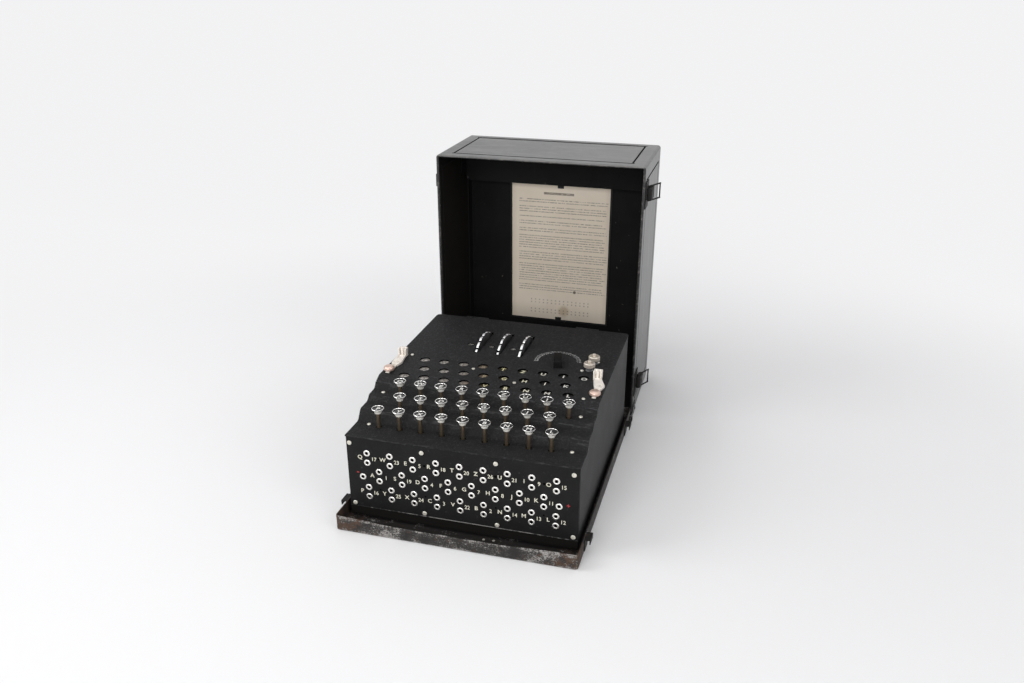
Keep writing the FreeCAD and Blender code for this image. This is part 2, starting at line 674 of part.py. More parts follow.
def plug_sockets():
    """All the socket bushes."""
    return repeated("plug_sockets", socket_blank(), [(x, "0", z) for x, z in plug_places()])


# ---------------------------------------------------------------- keys

ROWS = (
    ("qwertzuio", "one", "0"),
    ("asdfghjk", "two", "1/3"),
    ("pyxcvbnml", "three", "-1/3"),
)


def cap_height(row):
    """The height of the caps in one row."""
    return f"(top_height + row_{row}_rise)"


def key_places():
    """Letter of each key to its x, y and the height of its cap, as formulas."""
    places = {}
    for letters, row, shift in ROWS:
        for step, letter in enumerate(letters):
            x = f"key_first + key_pitch*({step} + {shift})"
            places[letter] = (x, back(f"row_{row}_back"), cap_height(row))
    return places


def key_blank(row):
    """Key of one row on the Z axis: a stem that widens into a cup with a straight rim."""
    foot, top = f"({BANK_TOP} + rail_height + key_travel + moving_gap)", cap_height(row)
    neck, rim = f"({top} - key_cap_height)", f"({top} - key_rim_height)"
    stem = prism("z", 0, 0, foot, "key_stem_radius", f"{neck} - {foot}", 6)
    cup = tapered(f"key_cup_{row}", neck, "key_stem_radius", rim, "key_cap_radius", 10)
    ring = prism("z", 0, 0, rim, "key_cap_radius", "key_rim_height", 10)
    return joined(f"key_blank_{row}", [stem, cup, ring])


def keys():
    """One node for each key."""
    nodes = []
    for letters, row, shift in ROWS:
        blank = key_blank(row)
        for letter in letters:
            x, y, top = key_places()[letter]
            nodes.append(place(grouped(f"key_{letter}", [blank]), x, y, 0))
    return nodes


def key_contact_bank():
    """Board under the keys with a contact rail below each row."""
    plate = block(f"-{INNER_HALF}", INNER_HALF, back("bank_front"), back("bank_back"),
                  f"{BANK_TOP} - bank_gauge", BANK_TOP)
    pieces = [plate]
    for row in ("one", "two", "three"):
        middle = back(f"row_{row}_back")
        pieces.append(block("key_first - key_pitch", "-(key_first - key_pitch)",
                            f"{middle} - rail_width/2", f"{middle} + rail_width/2",
                            BANK_TOP, f"{BANK_TOP} + rail_height"))
    return joined("key_contact_bank", pieces)


# ---------------------------------------------------------------- lamps

def lamp_places():
    """Letter of each lamp to its x and y, as formulas."""
    places = {}
    for letters, row, shift in ROWS:
        for step, letter in enumerate(letters):
            x = f"key_first + key_pitch*({step} + {shift})"
            places[letter] = (x, back(f"lamp_{row}_back"))
    return places


def lamp_board():
    """Board between the side walls, with a six-sided bulb under each window."""
    plate = block(f"-{INNER_HALF}", INNER_HALF, back("lamp_three_back - film_margin"),
                  back("lamp_one_back + film_margin"),
                  f"{LAMP_BOARD_TOP} - lamp_board_gauge", LAMP_BOARD_TOP)
    bulb = prism("z", 0, 0, LAMP_BOARD_TOP, "bulb_radius", "bulb_height")
    bulbs = repeated("lamp_bulbs", bulb, [(x, y, "0") for x, y in lamp_places().values()])
    return grouped("lamp_board", [plate, bulbs])


def letter_film():
    """Film with the letters, in its frame below the windows."""
    left, right = "key_first - key_pitch/3", "key_first + key_pitch*8"
    return relabelled("letter_film", block(
        f"{left} - film_margin", f"{right} + film_margin",
        back("(top_back + moving_gap)"), MASK_BACK, f"{TOP_UNDER} - film_gauge", TOP_UNDER))


# ---------------------------------------------------------------- rotors

def rotor_blank():
    """Rotor about the X axis with its thumb ring at x = 0: finger notches round the rim."""
    letter_left = "-(letter_ring_near + letter_ring_width)"
    core = prism("x", "-rotor_left_reach", 0, 0, "rotor_core_radius",
                 "rotor_left_reach + rotor_right_reach", 13)
    letters = prism("x", letter_left, 0, 0, "letter_ring_radius", "letter_ring_width", 26)
    ring = prism("x", "-thumb_width/2", 0, 0, "thumb_radius", "thumb_width", 26)
    cutter_side = "(notch_radius * cos(30))"
    cutter = prism("x", "-thumb_width", 0, 0, "notch_radius", "2*thumb_width")
    place(cutter, "-thumb_width", 0, f"-(thumb_radius - notch_depth + {cutter_side})")
    doc.recompute()
    notches = doc.addObject("Part::Feature", "thumb_notches")
    count = int(value("notches"))
    copies = []
    for step in range(count):
        copy = cutter.Shape.copy()
        copy.rotate(FreeCAD.Vector(), FreeCAD.Vector(1, 0, 0), 360 * step / count)
        copies.append(copy)
    notches.Shape = Part.makeCompound(copies)
    thumb = trimmed("thumb_ring", ring, [notches])
    bore = prism("x", "-rotor_left_reach - cutter_margin", 0, 0,
                 around("spindle_radius + shaft_fit", 12),
                 "rotor_left_reach + rotor_right_reach + 2*cutter_margin", 12)
    return trimmed("rotor_blank", joined("rotor_solid", [core, letters, thumb]), [bore])


def rotors():
    """Three like rotors on the spindle."""
    blank = rotor_blank()
    nodes = []
    for name, step in (("right", 0), ("middle", 1), ("left", 2)):
        x = f"rotor_right_x - {step}*rotor_pitch"
        nodes.append(place(grouped(f"rotor_{name}", [blank]), x, ROTOR_Y, ROTOR_Z))
    return nodes


ENTRY_LEFT = "(rotor_right_x + rotor_right_reach + wheel_gap)"
ENTRY_RIGHT = f"({ENTRY_LEFT} + entry_thickness)"
REFLECTOR_RIGHT = "(rotor_right_x - 2*rotor_pitch - rotor_left_reach - wheel_gap)"
REFLECTOR_LEFT = f"({REFLECTOR_RIGHT} - reflector_thickness)"


def fixed_wheel(name, left, thickness):
    """A bored disc on the spindle, with a side for each contact."""
    disc = prism("x", left, ROTOR_Y, ROTOR_Z, "wheel_radius", thickness, 26)
    bore = prism("x", f"{left} - cutter_margin", ROTOR_Y, ROTOR_Z,
                 around("spindle_radius + shaft_fit", 12), f"{thickness} + 2*cutter_margin", 12)
    return trimmed(name, disc, [bore])


def fixed_wheels():
    """Entry wheel at the right end of the rotors, and reflector at their left end."""
    return grouped("fixed_wheels", [
        fixed_wheel("entry_wheel", ENTRY_LEFT, "entry_thickness"),
        fixed_wheel("reflector", REFLECTOR_LEFT, "reflector_thickness"),
    ])


def rotor_frame():
    """Two end brackets on a base plate, bored for the spindle."""
    base_z = "machine_floor + housing_gauge"
    left, right = f"{REFLECTOR_LEFT} - bracket_gauge", f"{ENTRY_RIGHT} + bracket_gauge"
    front, rear = f"{ROTOR_Y} - bracket_half_depth", f"{ROTOR_Y} + bracket_half_depth"
    top = f"{ROTOR_Z} + bracket_rise"
    pieces = [block(left, right, front, rear, base_z, f"{base_z} + bracket_gauge")]
    for low in (left, ENTRY_RIGHT):
        pieces.append(block(low, f"{low} + bracket_gauge", front, rear, base_z, top))
    frame = joined("rotor_frame_blank", pieces)
    bore = rod("x", f"{left} - cutter_margin", ROTOR_Y, ROTOR_Z, "spindle_radius",
               f"{right} - ({left}) + 2*cutter_margin")
    return trimmed("rotor_frame", frame, [bore])


def rotor_spindle():
    """Shaft through the rotors, with a head at each end outside the brackets."""
    left, right = f"({REFLECTOR_LEFT} - bracket_gauge)", f"({ENTRY_RIGHT} + bracket_gauge)"
    shaft = rod("x", left, ROTOR_Y, ROTOR_Z, "spindle_radius", f"{right} - {left}")
    heads = []
    for start in (f"{left} - bracket_gauge", right):
        heads.append(prism("x", start, ROTOR_Y, ROTOR_Z, "2*spindle_radius",
                           "bracket_gauge"))
    return joined("rotor_spindle", [shaft] + heads)


# ---------------------------------------------------------------- rotor cover

CUTTER_LOW = "(top_height - 2*cover_gauge)"
CUTTER_LENGTH = "3*cover_gauge"


def ring_x(step):
    """The place of a thumb ring across the machine, counted from the right."""
    return f"(rotor_right_x - {step}*rotor_pitch)"


def letter_hole(step):
    """Cutter for the window over a rotor's letter ring."""
    middle = f"({ring_x(step)} - letter_ring_near - letter_ring_width/2)"
    y = back("letter_window_back")
    return block(f"{middle} - letter_window/2", f"{middle} + letter_window/2",
                 f"{y} - letter_window/2", f"{y} + letter_window/2",
                 CUTTER_LOW, f"{CUTTER_LOW} + {CUTTER_LENGTH}")


def slot_ends():
    """The front and rear ends of the thumb slots."""
    return f"{ROTOR_Y} - slot_length/2", f"{ROTOR_Y} + slot_length/2"


def lamp_mask():
    """Front of the hinged cover: turned-down edge and a round window for each lamp."""
    body = new_body("lamp_mask_sheet")
    outline = sketch_on(body, "YZ_Plane")
    front = back("(seam_back + moving_gap)")
    polygon(outline, [
        (front, SEAM_HEIGHT), (back("top_back"), "top_height"), (MASK_BACK, "top_height"),
        (MASK_BACK, TOP_UNDER), (back("top_back"), TOP_UNDER), (front, f"{SEAM_HEIGHT} - cover_gauge"),
    ])
    pad(body, outline, f"2*{COVER_HALF}", both_ways=True)
    windows = []
    for x, y in lamp_places().values():
        windows.append(prism("z", x, y, CUTTER_LOW, "window_radius", CUTTER_LENGTH, 10))
    return trimmed("lamp_mask", body, windows)


def rotor_cover():
    """Rear of the hinged cover, opened over the rotors, with its two hinge knuckles."""
    plate = block(f"-{COVER_HALF}", COVER_HALF, MASK_BACK, back("machine_depth"),
                  TOP_UNDER, "top_height")
    front, rear = slot_ends()
    opening = block(f"{ring_x(2)} - slot_left", f"{ring_x(0)} + slot_right", front, rear,
                    CUTTER_LOW, f"{CUTTER_LOW} + {CUTTER_LENGTH}")
    shaft_hole = rod("z", "switch_x", back("switch_back"), CUTTER_LOW,
                     "switch_shaft_radius + shaft_fit", CUTTER_LENGTH)
    sheet_metal = trimmed("rotor_cover_plate", plate, [opening, letter_hole(2), shaft_hole])
    start = "knuckle_near + knuckle_length + moving_gap"
    length = "knuckle_length"
    roll = prism("x", start, COVER_AXIS_Y, COVER_AXIS_Z, "knuckle_radius", length, 12)
    tongue = block(start, f"{start} + {length}", back("(machine_depth - cover_gauge)"),
                   COVER_AXIS_Y, TOP_UNDER, "top_height")
    bore = rod("x", start, COVER_AXIS_Y, COVER_AXIS_Z, "hinge_pin_radius + shaft_fit", length)
    knuckle = trimmed("cover_knuckle", joined("cover_knuckle_blank", [roll, tongue]), [bore])
    return joined("rotor_cover", [sheet_metal, knuckle, mirrored("cover_knuckle_left", knuckle)])


def slot_bars():
    """The two bars of the cover that divide its opening into the thumb slots."""
    front, rear = slot_ends()
    bars = []
    for step in (0, 1):
        bar = block(f"{ring_x(step + 1)} + slot_right", f"{ring_x(step)} - slot_left",
                    front, rear, TOP_UNDER, "top_height")
        bars.append(trimmed(f"slot_bar_{step}", bar, [letter_hole(step)]))
    return grouped("slot_bars", bars)


def switch_knob():
    """Bar knob over the dial, with its shaft through the cover."""
    body = new_body("knob_bar")
    outline = sketch_on(body, "XY_Plane", "top_height + moving_gap")
    rectangle(outline, "-knob_width/2", "knob_width/2", "-knob_front", "knob_rear")
    pad(body, outline, "knob_height")
    top = value("top_height + moving_gap + knob_height")
    rounded(body, "knob_round", lambda edge: edge.Vertexes[0].Z > top - 1e-6
            and edge.Vertexes[-1].Z > top - 1e-6)
    shaft = prism("z", 0, 0, "top_height - switch_shaft_length", "switch_shaft_radius",
                  "switch_shaft_length + moving_gap + knob_height/2", 12)
    knob = grouped("switch_knob", [joined("knob_with_shaft", [body, shaft])])
    knob.Placement.Rotation = FreeCAD.Rotation(FreeCAD.Vector(0, 0, 1), value("switch_turn"))
    return place(knob, "switch_x", back("switch_back"), 0)


def terminal_blank():
    """Terminal on the Z axis: collar, round nut and the tip of the stud."""
    nut = "(top_height + collar_height)"
    return joined("terminal_blank", [
        prism("z", 0, 0, "top_height", "collar_radius", "collar_height", 12),
        prism("z", 0, 0, nut, "nut_radius", "nut_height", 18),
        prism("z", 0, 0, f"{nut} + nut_height", "terminal_stud_radius", "terminal_stud_tip", 8),
    ])


def terminals():
    """The two terminals at the right of the cover."""
    return repeated("terminals", terminal_blank(), [
        ("terminal_front_x", back("terminal_front_back"), "0"),
        ("terminal_rear_x", back("terminal_rear_back"), "0"),
    ])


def cover_catch(name, x, lean):
    """Catch on the cover: upright post, tongue that turns to the right, strip and round knob."""
    foot = "(top_height + moving_gap)"
    left, right = f"{x} + {lean} - catch_width/2", f"{x} + {lean} + catch_width/2"
    front = back("catch_post_front")
    post = block(left, right, front, back("catch_post_back"), foot, f"{foot} + catch_height")
    tongue = new_body(name + "_tongue")
    outline = sketch_on(tongue, "XY_Plane", foot)
    polygon(outline, [
        (left, front), (f"{x} - tongue_heel_left", back("tongue_heel_back")),
        (f"{x} + tongue_tip_right", back("tongue_tip_back")),
        (f"{x} + tongue_edge_right", back("tongue_edge_back")), (right, front),
    ])
    pad(tongue, outline, "tongue_gauge")
    strip = block(f"{x} - strip_half_width", f"{x} + strip_half_width", back("catch_knob_back"),
                  back("tongue_edge_back"), foot, f"{foot} + strip_gauge")
    knob = prism("z", x, back("catch_knob_back"), foot, "catch_knob_radius", "catch_knob_height", 16)
    return joined(name, [post, tongue, strip, knob])


def relabelled(name, thing):
    """Give an object the name of its node."""
    thing.Label = name
    return thing


# ---------------------------------------------------------------- all nodes

nodes = [
    base_tray(), tray_fittings(), case_hood(), instruction_card(), card_frame(),
    machine_housing(), plug_panel(), plug_sockets(), keyboard_cover(), key_contact_bank(),
    lamp_board(), letter_film(), lamp_mask(), rotor_cover(), slot_bars(),
    rotor_frame(), rotor_spindle(), fixed_wheels(), switch_knob(), terminals(),
]
nodes.append(cover_catch("cover_catch_right", CATCH_X, "catch_lean_right"))
nodes.append(cover_catch("cover_catch_left", f"-{CATCH_X}", "catch_lean_left"))
nodes += latches() + rotors() + keys()
doc.recompute()

for thing in doc.Objects:
    if "Invalid" in thing.State or "Error" in thing.State:
        raise RuntimeError(f"{thing.Label} failed: {thing.State}")
for node in nodes:
    if node.Shape.isNull() or not node.Shape.isValid():
        raise RuntimeError(f"{node.Label} has no valid shape")
for node in nodes:
    node.Shape.exportStep(f"parts/{node.Label}.step")
print(len(nodes), "nodes written")
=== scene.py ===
import bpy
import bmesh
import math
import random
from mathutils import Matrix, Quaternion, Vector


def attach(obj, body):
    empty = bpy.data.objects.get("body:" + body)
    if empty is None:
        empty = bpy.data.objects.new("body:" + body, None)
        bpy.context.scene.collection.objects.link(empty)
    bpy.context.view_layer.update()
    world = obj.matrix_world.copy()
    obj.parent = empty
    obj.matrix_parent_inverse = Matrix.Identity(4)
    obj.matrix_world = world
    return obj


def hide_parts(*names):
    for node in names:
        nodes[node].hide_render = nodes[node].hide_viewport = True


# Rotor cipher machine standing open in its travel case. Sizes are in millimetres, and
# unit turns them into metres. The floor is z = 0, and +y runs from the plug panel to the hood.

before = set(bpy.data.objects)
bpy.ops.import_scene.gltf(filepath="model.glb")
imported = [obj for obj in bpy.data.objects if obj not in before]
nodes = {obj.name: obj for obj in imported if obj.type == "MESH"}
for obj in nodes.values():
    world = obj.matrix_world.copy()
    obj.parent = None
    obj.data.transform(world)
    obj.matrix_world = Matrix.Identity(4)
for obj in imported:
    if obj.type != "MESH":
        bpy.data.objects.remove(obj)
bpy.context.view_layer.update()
bpy.ops.object.select_all(action="DESELECT")
unit = 0.001
dice = random.Random(26)

places = {
    "panelY": -143.65, "coverTop": 133.3, "coverGauge": 1.5, "halfCover": 130.5,
    "rotorY": 79.35, "rotorZ": 90.8, "rotorX": {"right": 12.4, "middle": -15.0, "left": -42.4},
    "hoodFront": 183.05, "hoodRear": 324.85, "hoodHalf": 136.5, "hoodTop": 343.5,
    "trayHalf": 136.2, "trayLength": 343.5, "trayWall": 18.3,
}
firstKey, keyPitch = -93.8, 24.4
keyRows = [
    {"letters": "qwertzuio", "first": firstKey, "keyY": 72.0, "keyTop": 141.5, "lampY": 151.3},
    {"letters": "asdfghjk", "first": firstKey + keyPitch / 3, "keyY": 50.0, "keyTop": 134.7, "lampY": 127.0},
    {"letters": "pyxcvbnml", "first": firstKey - keyPitch / 3, "keyY": 26.4, "keyTop": 128.3, "lampY": 103.4},
]


def behind(distance):  # a y that far behind the plug panel's face
    return places["panelY"] + distance


def keyPlaces():  # each key's row, letter and x
    for row in keyRows:
        for step, letter in enumerate(row["letters"]):
            yield row, letter, row["first"] + keyPitch * step


def startFresh():
    active = bpy.context.view_layer.objects.active
    if active and active.mode != "OBJECT":
        bpy.ops.object.mode_set(mode="OBJECT")
    bpy.ops.object.select_all(action="DESELECT")


def makeActive(piece):
    startFresh()
    piece.select_set(True)
    bpy.context.view_layer.objects.active = piece
    return piece


def applyPlace(piece):
    makeActive(piece)
    bpy.ops.object.transform_apply(location=True, rotation=True, scale=True)
    return piece


def addBlock(low, high):
    startFresh()
    centre = [(a + b) / 2 * unit for a, b in zip(low, high)]
    bpy.ops.mesh.primitive_cube_add(size=1, location=centre)
    block = bpy.context.object
    block.scale = [(b - a) * unit for a, b in zip(low, high)]
    return applyPlace(block)


def addRod(radius, length, place, sides=32, axis="z"):  # place is the middle of the rod
    startFresh()
    turn = {"x": (0, math.pi / 2, 0), "y": (math.pi / 2, 0, 0), "z": (0, 0, 0)}[axis]
    bpy.ops.mesh.primitive_cylinder_add(vertices=sides, radius=radius * unit, depth=length * unit,
                                        location=[v * unit for v in place], rotation=turn)
    return applyPlace(bpy.context.object)


def turnProfile(profile, steps=32):  # (radius, height) points spun about the z axis
    startFresh()
    bpy.ops.mesh.primitive_plane_add(size=unit)
    bpy.ops.object.mode_set(mode="EDIT")
    bpy.ops.mesh.select_mode(type="VERT")
    bpy.ops.mesh.merge(type="CENTER")
    here = profile[0]
    bpy.ops.transform.translate(value=(here[0] * unit, 0, here[1] * unit))
    for there in profile[1:]:
        move = ((there[0] - here[0]) * unit, 0, (there[1] - here[1]) * unit)
        bpy.ops.mesh.extrude_vertices_move(TRANSFORM_OT_translate={"value": move})
        here = there
    bpy.ops.mesh.select_all(action="SELECT")
    bpy.ops.mesh.spin(steps=steps, angle=math.tau, center=(0, 0, 0), axis=(0, 0, 1))
    bpy.ops.mesh.select_all(action="SELECT")
    bpy.ops.mesh.remove_doubles(threshold=2e-6)
    bpy.ops.mesh.normals_make_consistent(inside=False)
    bpy.ops.object.mode_set(mode="OBJECT")
    return bpy.context.object


def pickFaces(piece, test):  # leaves the piece in edit mode with those faces selected
    makeActive(piece)
    bpy.ops.object.mode_set(mode="EDIT")
    bpy.ops.mesh.select_mode(type="FACE")
    bpy.ops.mesh.select_all(action="DESELECT")
    shape = bmesh.from_edit_mesh(piece.data)
    for face in shape.faces:
        face.select_set(bool(test(face.calc_center_median() / unit, face.normal)))
    bmesh.update_edit_mesh(piece.data)


def pickEdges(piece, test):  # test gets the two ends in millimetres
    makeActive(piece)
    bpy.ops.object.mode_set(mode="EDIT")
    bpy.ops.mesh.select_mode(type="EDGE")
    bpy.ops.mesh.select_all(action="DESELECT")
    shape = bmesh.from_edit_mesh(piece.data)
    for edge in shape.edges:
        edge.select_set(bool(test(edge.verts[0].co / unit, edge.verts[1].co / unit)))
    bmesh.update_edit_mesh(piece.data)


def roundEdges(piece, test, width, segments=3):
    pickEdges(piece, test)
    bpy.ops.mesh.bevel(offset=width * unit, segments=segments, affect="EDGES")
    bpy.ops.object.mode_set(mode="OBJECT")
    return piece


def alongAxis(a, b, axis):
    others = [i for i in range(3) if i != axis]
    return abs(a[axis] - b[axis]) > 1e-3 and all(abs(a[i] - b[i]) < 1e-3 for i in others)


def openFaces(piece, test):  # takes the faces that pass away, which leaves a shell
    pickFaces(piece, test)
    bpy.ops.mesh.delete(type="FACE")
    bpy.ops.object.mode_set(mode="OBJECT")


def walled(piece, gauge):  # a sheet gets its thickness, inwards
    makeActive(piece)
    wall = piece.modifiers.new("wall", "SOLIDIFY")
    wall.thickness, wall.offset = gauge * unit, -1
    bpy.ops.object.modifier_apply(modifier=wall.name)
    return piece


def fluted(piece, rim, flutes, squeeze):  # draws in every other corner beyond the rim radius
    for vert in piece.data.vertices:
        beyond = math.hypot(vert.co.x, vert.co.y) / unit > rim
        if beyond and round(math.atan2(vert.co.y, vert.co.x) / math.tau * flutes) % 2:
            vert.co.x *= squeeze
            vert.co.y *= squeeze


def softened(piece, width, segments=2, angle=40):
    makeActive(piece)
    edge = piece.modifiers.new("edge", "BEVEL")
    edge.width, edge.segments = width * unit, segments
    edge.limit_method, edge.angle_limit = "ANGLE", math.radians(angle)
    bpy.ops.object.modifier_apply(modifier=edge.name)
    return piece


def cutOut(piece, cutters):
    cutter = joined(cutters)
    makeActive(piece)
    holes = piece.modifiers.new("holes", "BOOLEAN")
    holes.operation, holes.solver, holes.object = "DIFFERENCE", "EXACT", cutter
    bpy.ops.object.modifier_apply(modifier=holes.name)
    bpy.data.objects.remove(cutter)
    return piece


def joined(pieces):
    pieces = list(pieces)
    makeActive(pieces[0])
    for piece in pieces[1:]:
        piece.select_set(True)
    if len(pieces) > 1:
        bpy.ops.object.join()
    return pieces[0]


def copied(piece, move=(0, 0, 0), turn=None):  # a copy with its own mesh, turned and then moved
    twin = piece.copy()
    twin.data = piece.data.copy()
    bpy.context.scene.collection.objects.link(twin)
    shift = Matrix.Translation(Vector(move) * unit)
    twin.data.transform(shift @ turn if turn else shift)
    return twin


def letters(text, size, place, turn=(0, 0, 0), depth=0.05, bold=0.0, wide=1.0):
    startFresh()
    bpy.ops.object.text_add()
    word = bpy.context.object
    word.data.body = text
    word.data.size = size * unit
    word.data.align_x, word.data.align_y = "CENTER", "CENTER"
    word.data.extrude = depth * unit
    word.data.offset = bold * unit
    word.data.resolution_u = 3
    bpy.ops.object.convert(target="MESH")
    word = bpy.context.object
    word.scale = (wide, 1, 1)
    word.rotation_euler = turn
    word.location = [v * unit for v in place]
    return applyPlace(word)


def paintFaces(piece, finish, test):  # the faces that pass take one more finish
    piece.data.materials.append(finish)
    last = len(piece.data.materials) - 1
    for face in piece.data.polygons:
        if test(face.center / unit, face.normal):
            face.material_index = last


def painted(piece, finish):
    piece.data.materials.clear()
    piece.data.materials.append(finish)
    return piece


def finished(piece, name, body, smooth=35, flatFaces=False):
    makeActive(piece)
    piece.name = name
    piece.data.name = name
    bpy.ops.object.shade_smooth_by_angle(angle=math.radians(smooth))
    if flatFaces:  # broad faces keep their own shading beside the small rounded edges
        shading = piece.modifiers.new("shading", "WEIGHTED_NORMAL")
        shading.keep_sharp = True
        bpy.ops.object.modifier_apply(modifier=shading.name)
    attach(piece, body)
    return piece


class Value:  # an output socket that can stand in a sum
    def __init__(self, finish, socket):
        self.finish = finish
        self.socket = socket

    def __add__(self, other):
        return self.finish.maths("ADD", self, other)

    def __radd__(self, other):
        return self.finish.maths("ADD", other, self)

    def __sub__(self, other):
        return self.finish.maths("SUBTRACT", self, other)

    def __rsub__(self, other):
        return self.finish.maths("SUBTRACT", other, self)

    def __mul__(self, other):
        return self.finish.maths("MULTIPLY", self, other)

    def __rmul__(self, other):
        return self.finish.maths("MULTIPLY", other, self)

    def __truediv__(self, other):
        return self.finish.maths("DIVIDE", self, other)


class Finish:  # one material while its nodes are laid out; lengths are in millimetres
    def __init__(self, name, **fixed):
        self.material = bpy.data.materials.new(name)
        self.material.use_nodes = True
        self.tree = self.material.node_tree
        self.tree.nodes.clear()
        self.shader = self.tree.nodes.new("ShaderNodeBsdfPrincipled")
        self.out = self.tree.nodes.new("ShaderNodeOutputMaterial")
        self.tree.links.new(self.shader.outputs[0], self.out.inputs["Surface"])
        for key, value in fixed.items():
            self.shader.inputs[key.replace("_", " ")].default_value = value
        place = self.node("TexCoord", output="Object")
        self.place = self.node("VectorMath", {0: place, 1: (1000, 1000, 1000)}, operation="MULTIPLY")
        self.x = self.node("SeparateXYZ", {0: self.place}, output=0)
        self.y = self.node("SeparateXYZ", {0: self.place}, output=1)
        self.z = self.node("SeparateXYZ", {0: self.place}, output=2)

    def node(self, kind, sockets=None, output=0, stops=None, **settings):
        made = self.tree.nodes.new("ShaderNode" + kind)
        for key, value in settings.items():
            setattr(made, key, value)
        if stops:
            ramp = made.color_ramp
            while len(ramp.elements) < len(stops):
                ramp.elements.new(1)
            for element, (spot, colour) in zip(ramp.elements, stops):
                element.position, element.color = spot, (*colour, 1)
        for key, value in (sockets or {}).items():
            self.feed(made.inputs[key], value)
        return Value(self, made.outputs[output])

    def feed(self, socket, value):
        if isinstance(value, Value):
            self.tree.links.new(value.socket, socket)
        elif socket.type == "RGBA" and len(value) == 3:
            socket.default_value = (*value, 1)
        else:
            socket.default_value = value

    def maths(self, operation, first, second=0.0):
        return self.node("Math", {0: first, 1: second}, operation=operation)

    def least(self, first, second):
        return self.maths("MINIMUM", first, second)

    def most(self, first, *others):
        for other in others:
            first = self.maths("MAXIMUM", first, other)
        return first

    def size(self, value):
        return self.maths("ABSOLUTE", value)

    def fade(self, value, low, high):  # 0 below low, 1 above high, smooth between
        return self.node("MapRange", {"Value": value, 1: low, 2: high, 3: 0.0, 4: 1.0},
                         interpolation_type="SMOOTHSTEP")

    def near(self, value, at, inner, outer):  # 1 within inner of a place, 0 beyond outer
        return 1 - self.fade(self.size(value - at), inner, outer)

    def within(self, value, rise, fall):  # 1 between two soft edges, each given as (low, high)
        return self.fade(value, *rise) * (1 - self.fade(value, *fall))

    def reach(self, spot):  # distance from a point
        return self.node("VectorMath", {0: self.place, 1: spot}, output=1, operation="DISTANCE")

    def noise(self, grain, detail=3.0, rough=0.55, stretch=(1, 1, 1), seed=0.0, twist=0.0):
        spot = self.node("VectorMath", {0: self.place, 1: stretch}, operation="MULTIPLY")
        spot = self.node("VectorMath", {0: spot, 1: (seed, seed * 1.7, seed * 0.3)}, operation="ADD")
        return self.node("TexNoise", {"Vector": spot, "Scale": 1 / grain, "Detail": detail,
                                      "Roughness": rough, "Distortion": twist})

    def cells(self, grain):
        return self.node("TexVoronoi", {"Vector": self.place, "Scale": 1 / grain}, feature="F1")

    def blend(self, factor, first, second):
        return self.node("Mix", {0: factor, 6: first, 7: second}, output=2, data_type="RGBA")

    def colour(self, value):
        self.feed(self.shader.inputs["Base Color"], value)

    def rough(self, value):
        self.feed(self.shader.inputs["Roughness"], value)

    def metal(self, value):
        self.feed(self.shader.inputs["Metallic"], value)

    def bump(self, height, depth):  # depth in millimetres for a height of 1
        normal = self.node("Bump", {"Height": height, "Distance": depth * unit, "Strength": 1.0})
        self.feed(self.shader.inputs["Normal"], normal)


def crackleFinish(name, base, worn, edges):
    # crinkled black paint: fine cells with painted shade in their valleys, light specks painted as
    # glints, and rubbed strips along the edges, each of which is (axis, place on it, reach)
    paint = Finish(name, Specular_IOR_Level=0.17)
    cells = paint.cells(1.7)
    fine = paint.noise(1.2, 3, 0.6)
    glintSpecks = paint.fade(paint.noise(2.6, 3, 0.65, seed=12), 0.52, 0.66)
    patches = paint.noise(22, 4, 0.6)
    height = cells * 0.6 + fine * 0.6 + glintSpecks * 0.4
    rub = paint.noise(9, 5, 0.7, stretch=(0.5, 3, 3), seed=4)
    strips = paint.most(*[paint.near(getattr(paint, axis), at, reach * 0.2, reach)
                          for axis, at, reach in edges])
    scuffs = paint.fade(paint.noise(9, 5, 0.65, stretch=(0.35, 1, 1), seed=9), 0.6, 0.72) * 0.25
    wear = paint.most(scuffs, strips * paint.fade(rub, 0.5, 0.7) * 0.8)
    shade = paint.blend(paint.fade(patches, 0.35, 0.7), base, [v * 1.4 for v in base])
    # painted glints: light specks
    shade = paint.blend(glintSpecks * 0.75, shade, [v * 3.6 for v in base])
    # painted shade: darker along the cell borders, as shade in the crinkle's valleys
    shade = paint.blend(paint.fade(cells, 0.1, 0.6) * 0.4, shade, [v * 0.35 for v in base])
    paint.colour(paint.blend(wear, shade, worn))
    paint.rough(0.58 + patches * 0.16 - wear * 0.15)
    paint.bump(height, 0.42)
    return paint.material


def satinFinish(name, base, worn, rough, grain, scuff, gloss, stretch=(1, 1, 1)):
    # sprayed satin paint with orange peel, faint dirt, thin scratches and light specks painted as glints
    paint = Finish(name, Specular_IOR_Level=gloss)
    peel = paint.noise(1.1, 2, 0.5)
    dirt = paint.noise(32, 5, 0.6)
    scratch = paint.noise(4, 3, 0.6, stretch, seed=3, twist=0.4)
    marks = paint.fade(scratch, scuff, scuff + 0.06)
    glintSpecks = paint.fade(paint.noise(1.2, 3, 0.65, seed=18), 0.52, 0.7)
    shade = paint.blend(paint.fade(dirt, 0.3, 0.72), base, [v * 1.5 for v in base])
    # painted glints: light specks
    shade = paint.blend(glintSpecks * 0.5, shade, [v * 2.4 for v in base])
    paint.colour(paint.blend(marks * 0.5, shade, worn))
    paint.rough(rough + dirt * 0.2 - marks * 0.08)
    paint.bump(peel, grain)
    return paint.material


def metalFinish(name, base, dark, rough, grimeAndShade, grain, metal=1.0):
    # plated metal with tarnish in cloudy patches
    plate = Finish(name)
    cloud = plate.noise(grain * 4, 4, 0.6)
    spots = plate.noise(grain, 4, 0.7, seed=5)
    tarnish = plate.most(plate.fade(cloud, 0.45, 0.75) * grimeAndShade, plate.fade(spots, 0.62, 0.74) * grimeAndShade)
    plate.colour(plate.blend(tarnish, base, dark))
    plate.rough(rough + tarnish * 0.35)
    plate.metal(metal - tarnish * 0.3)
    plate.bump(spots, 0.02)
    return plate.material


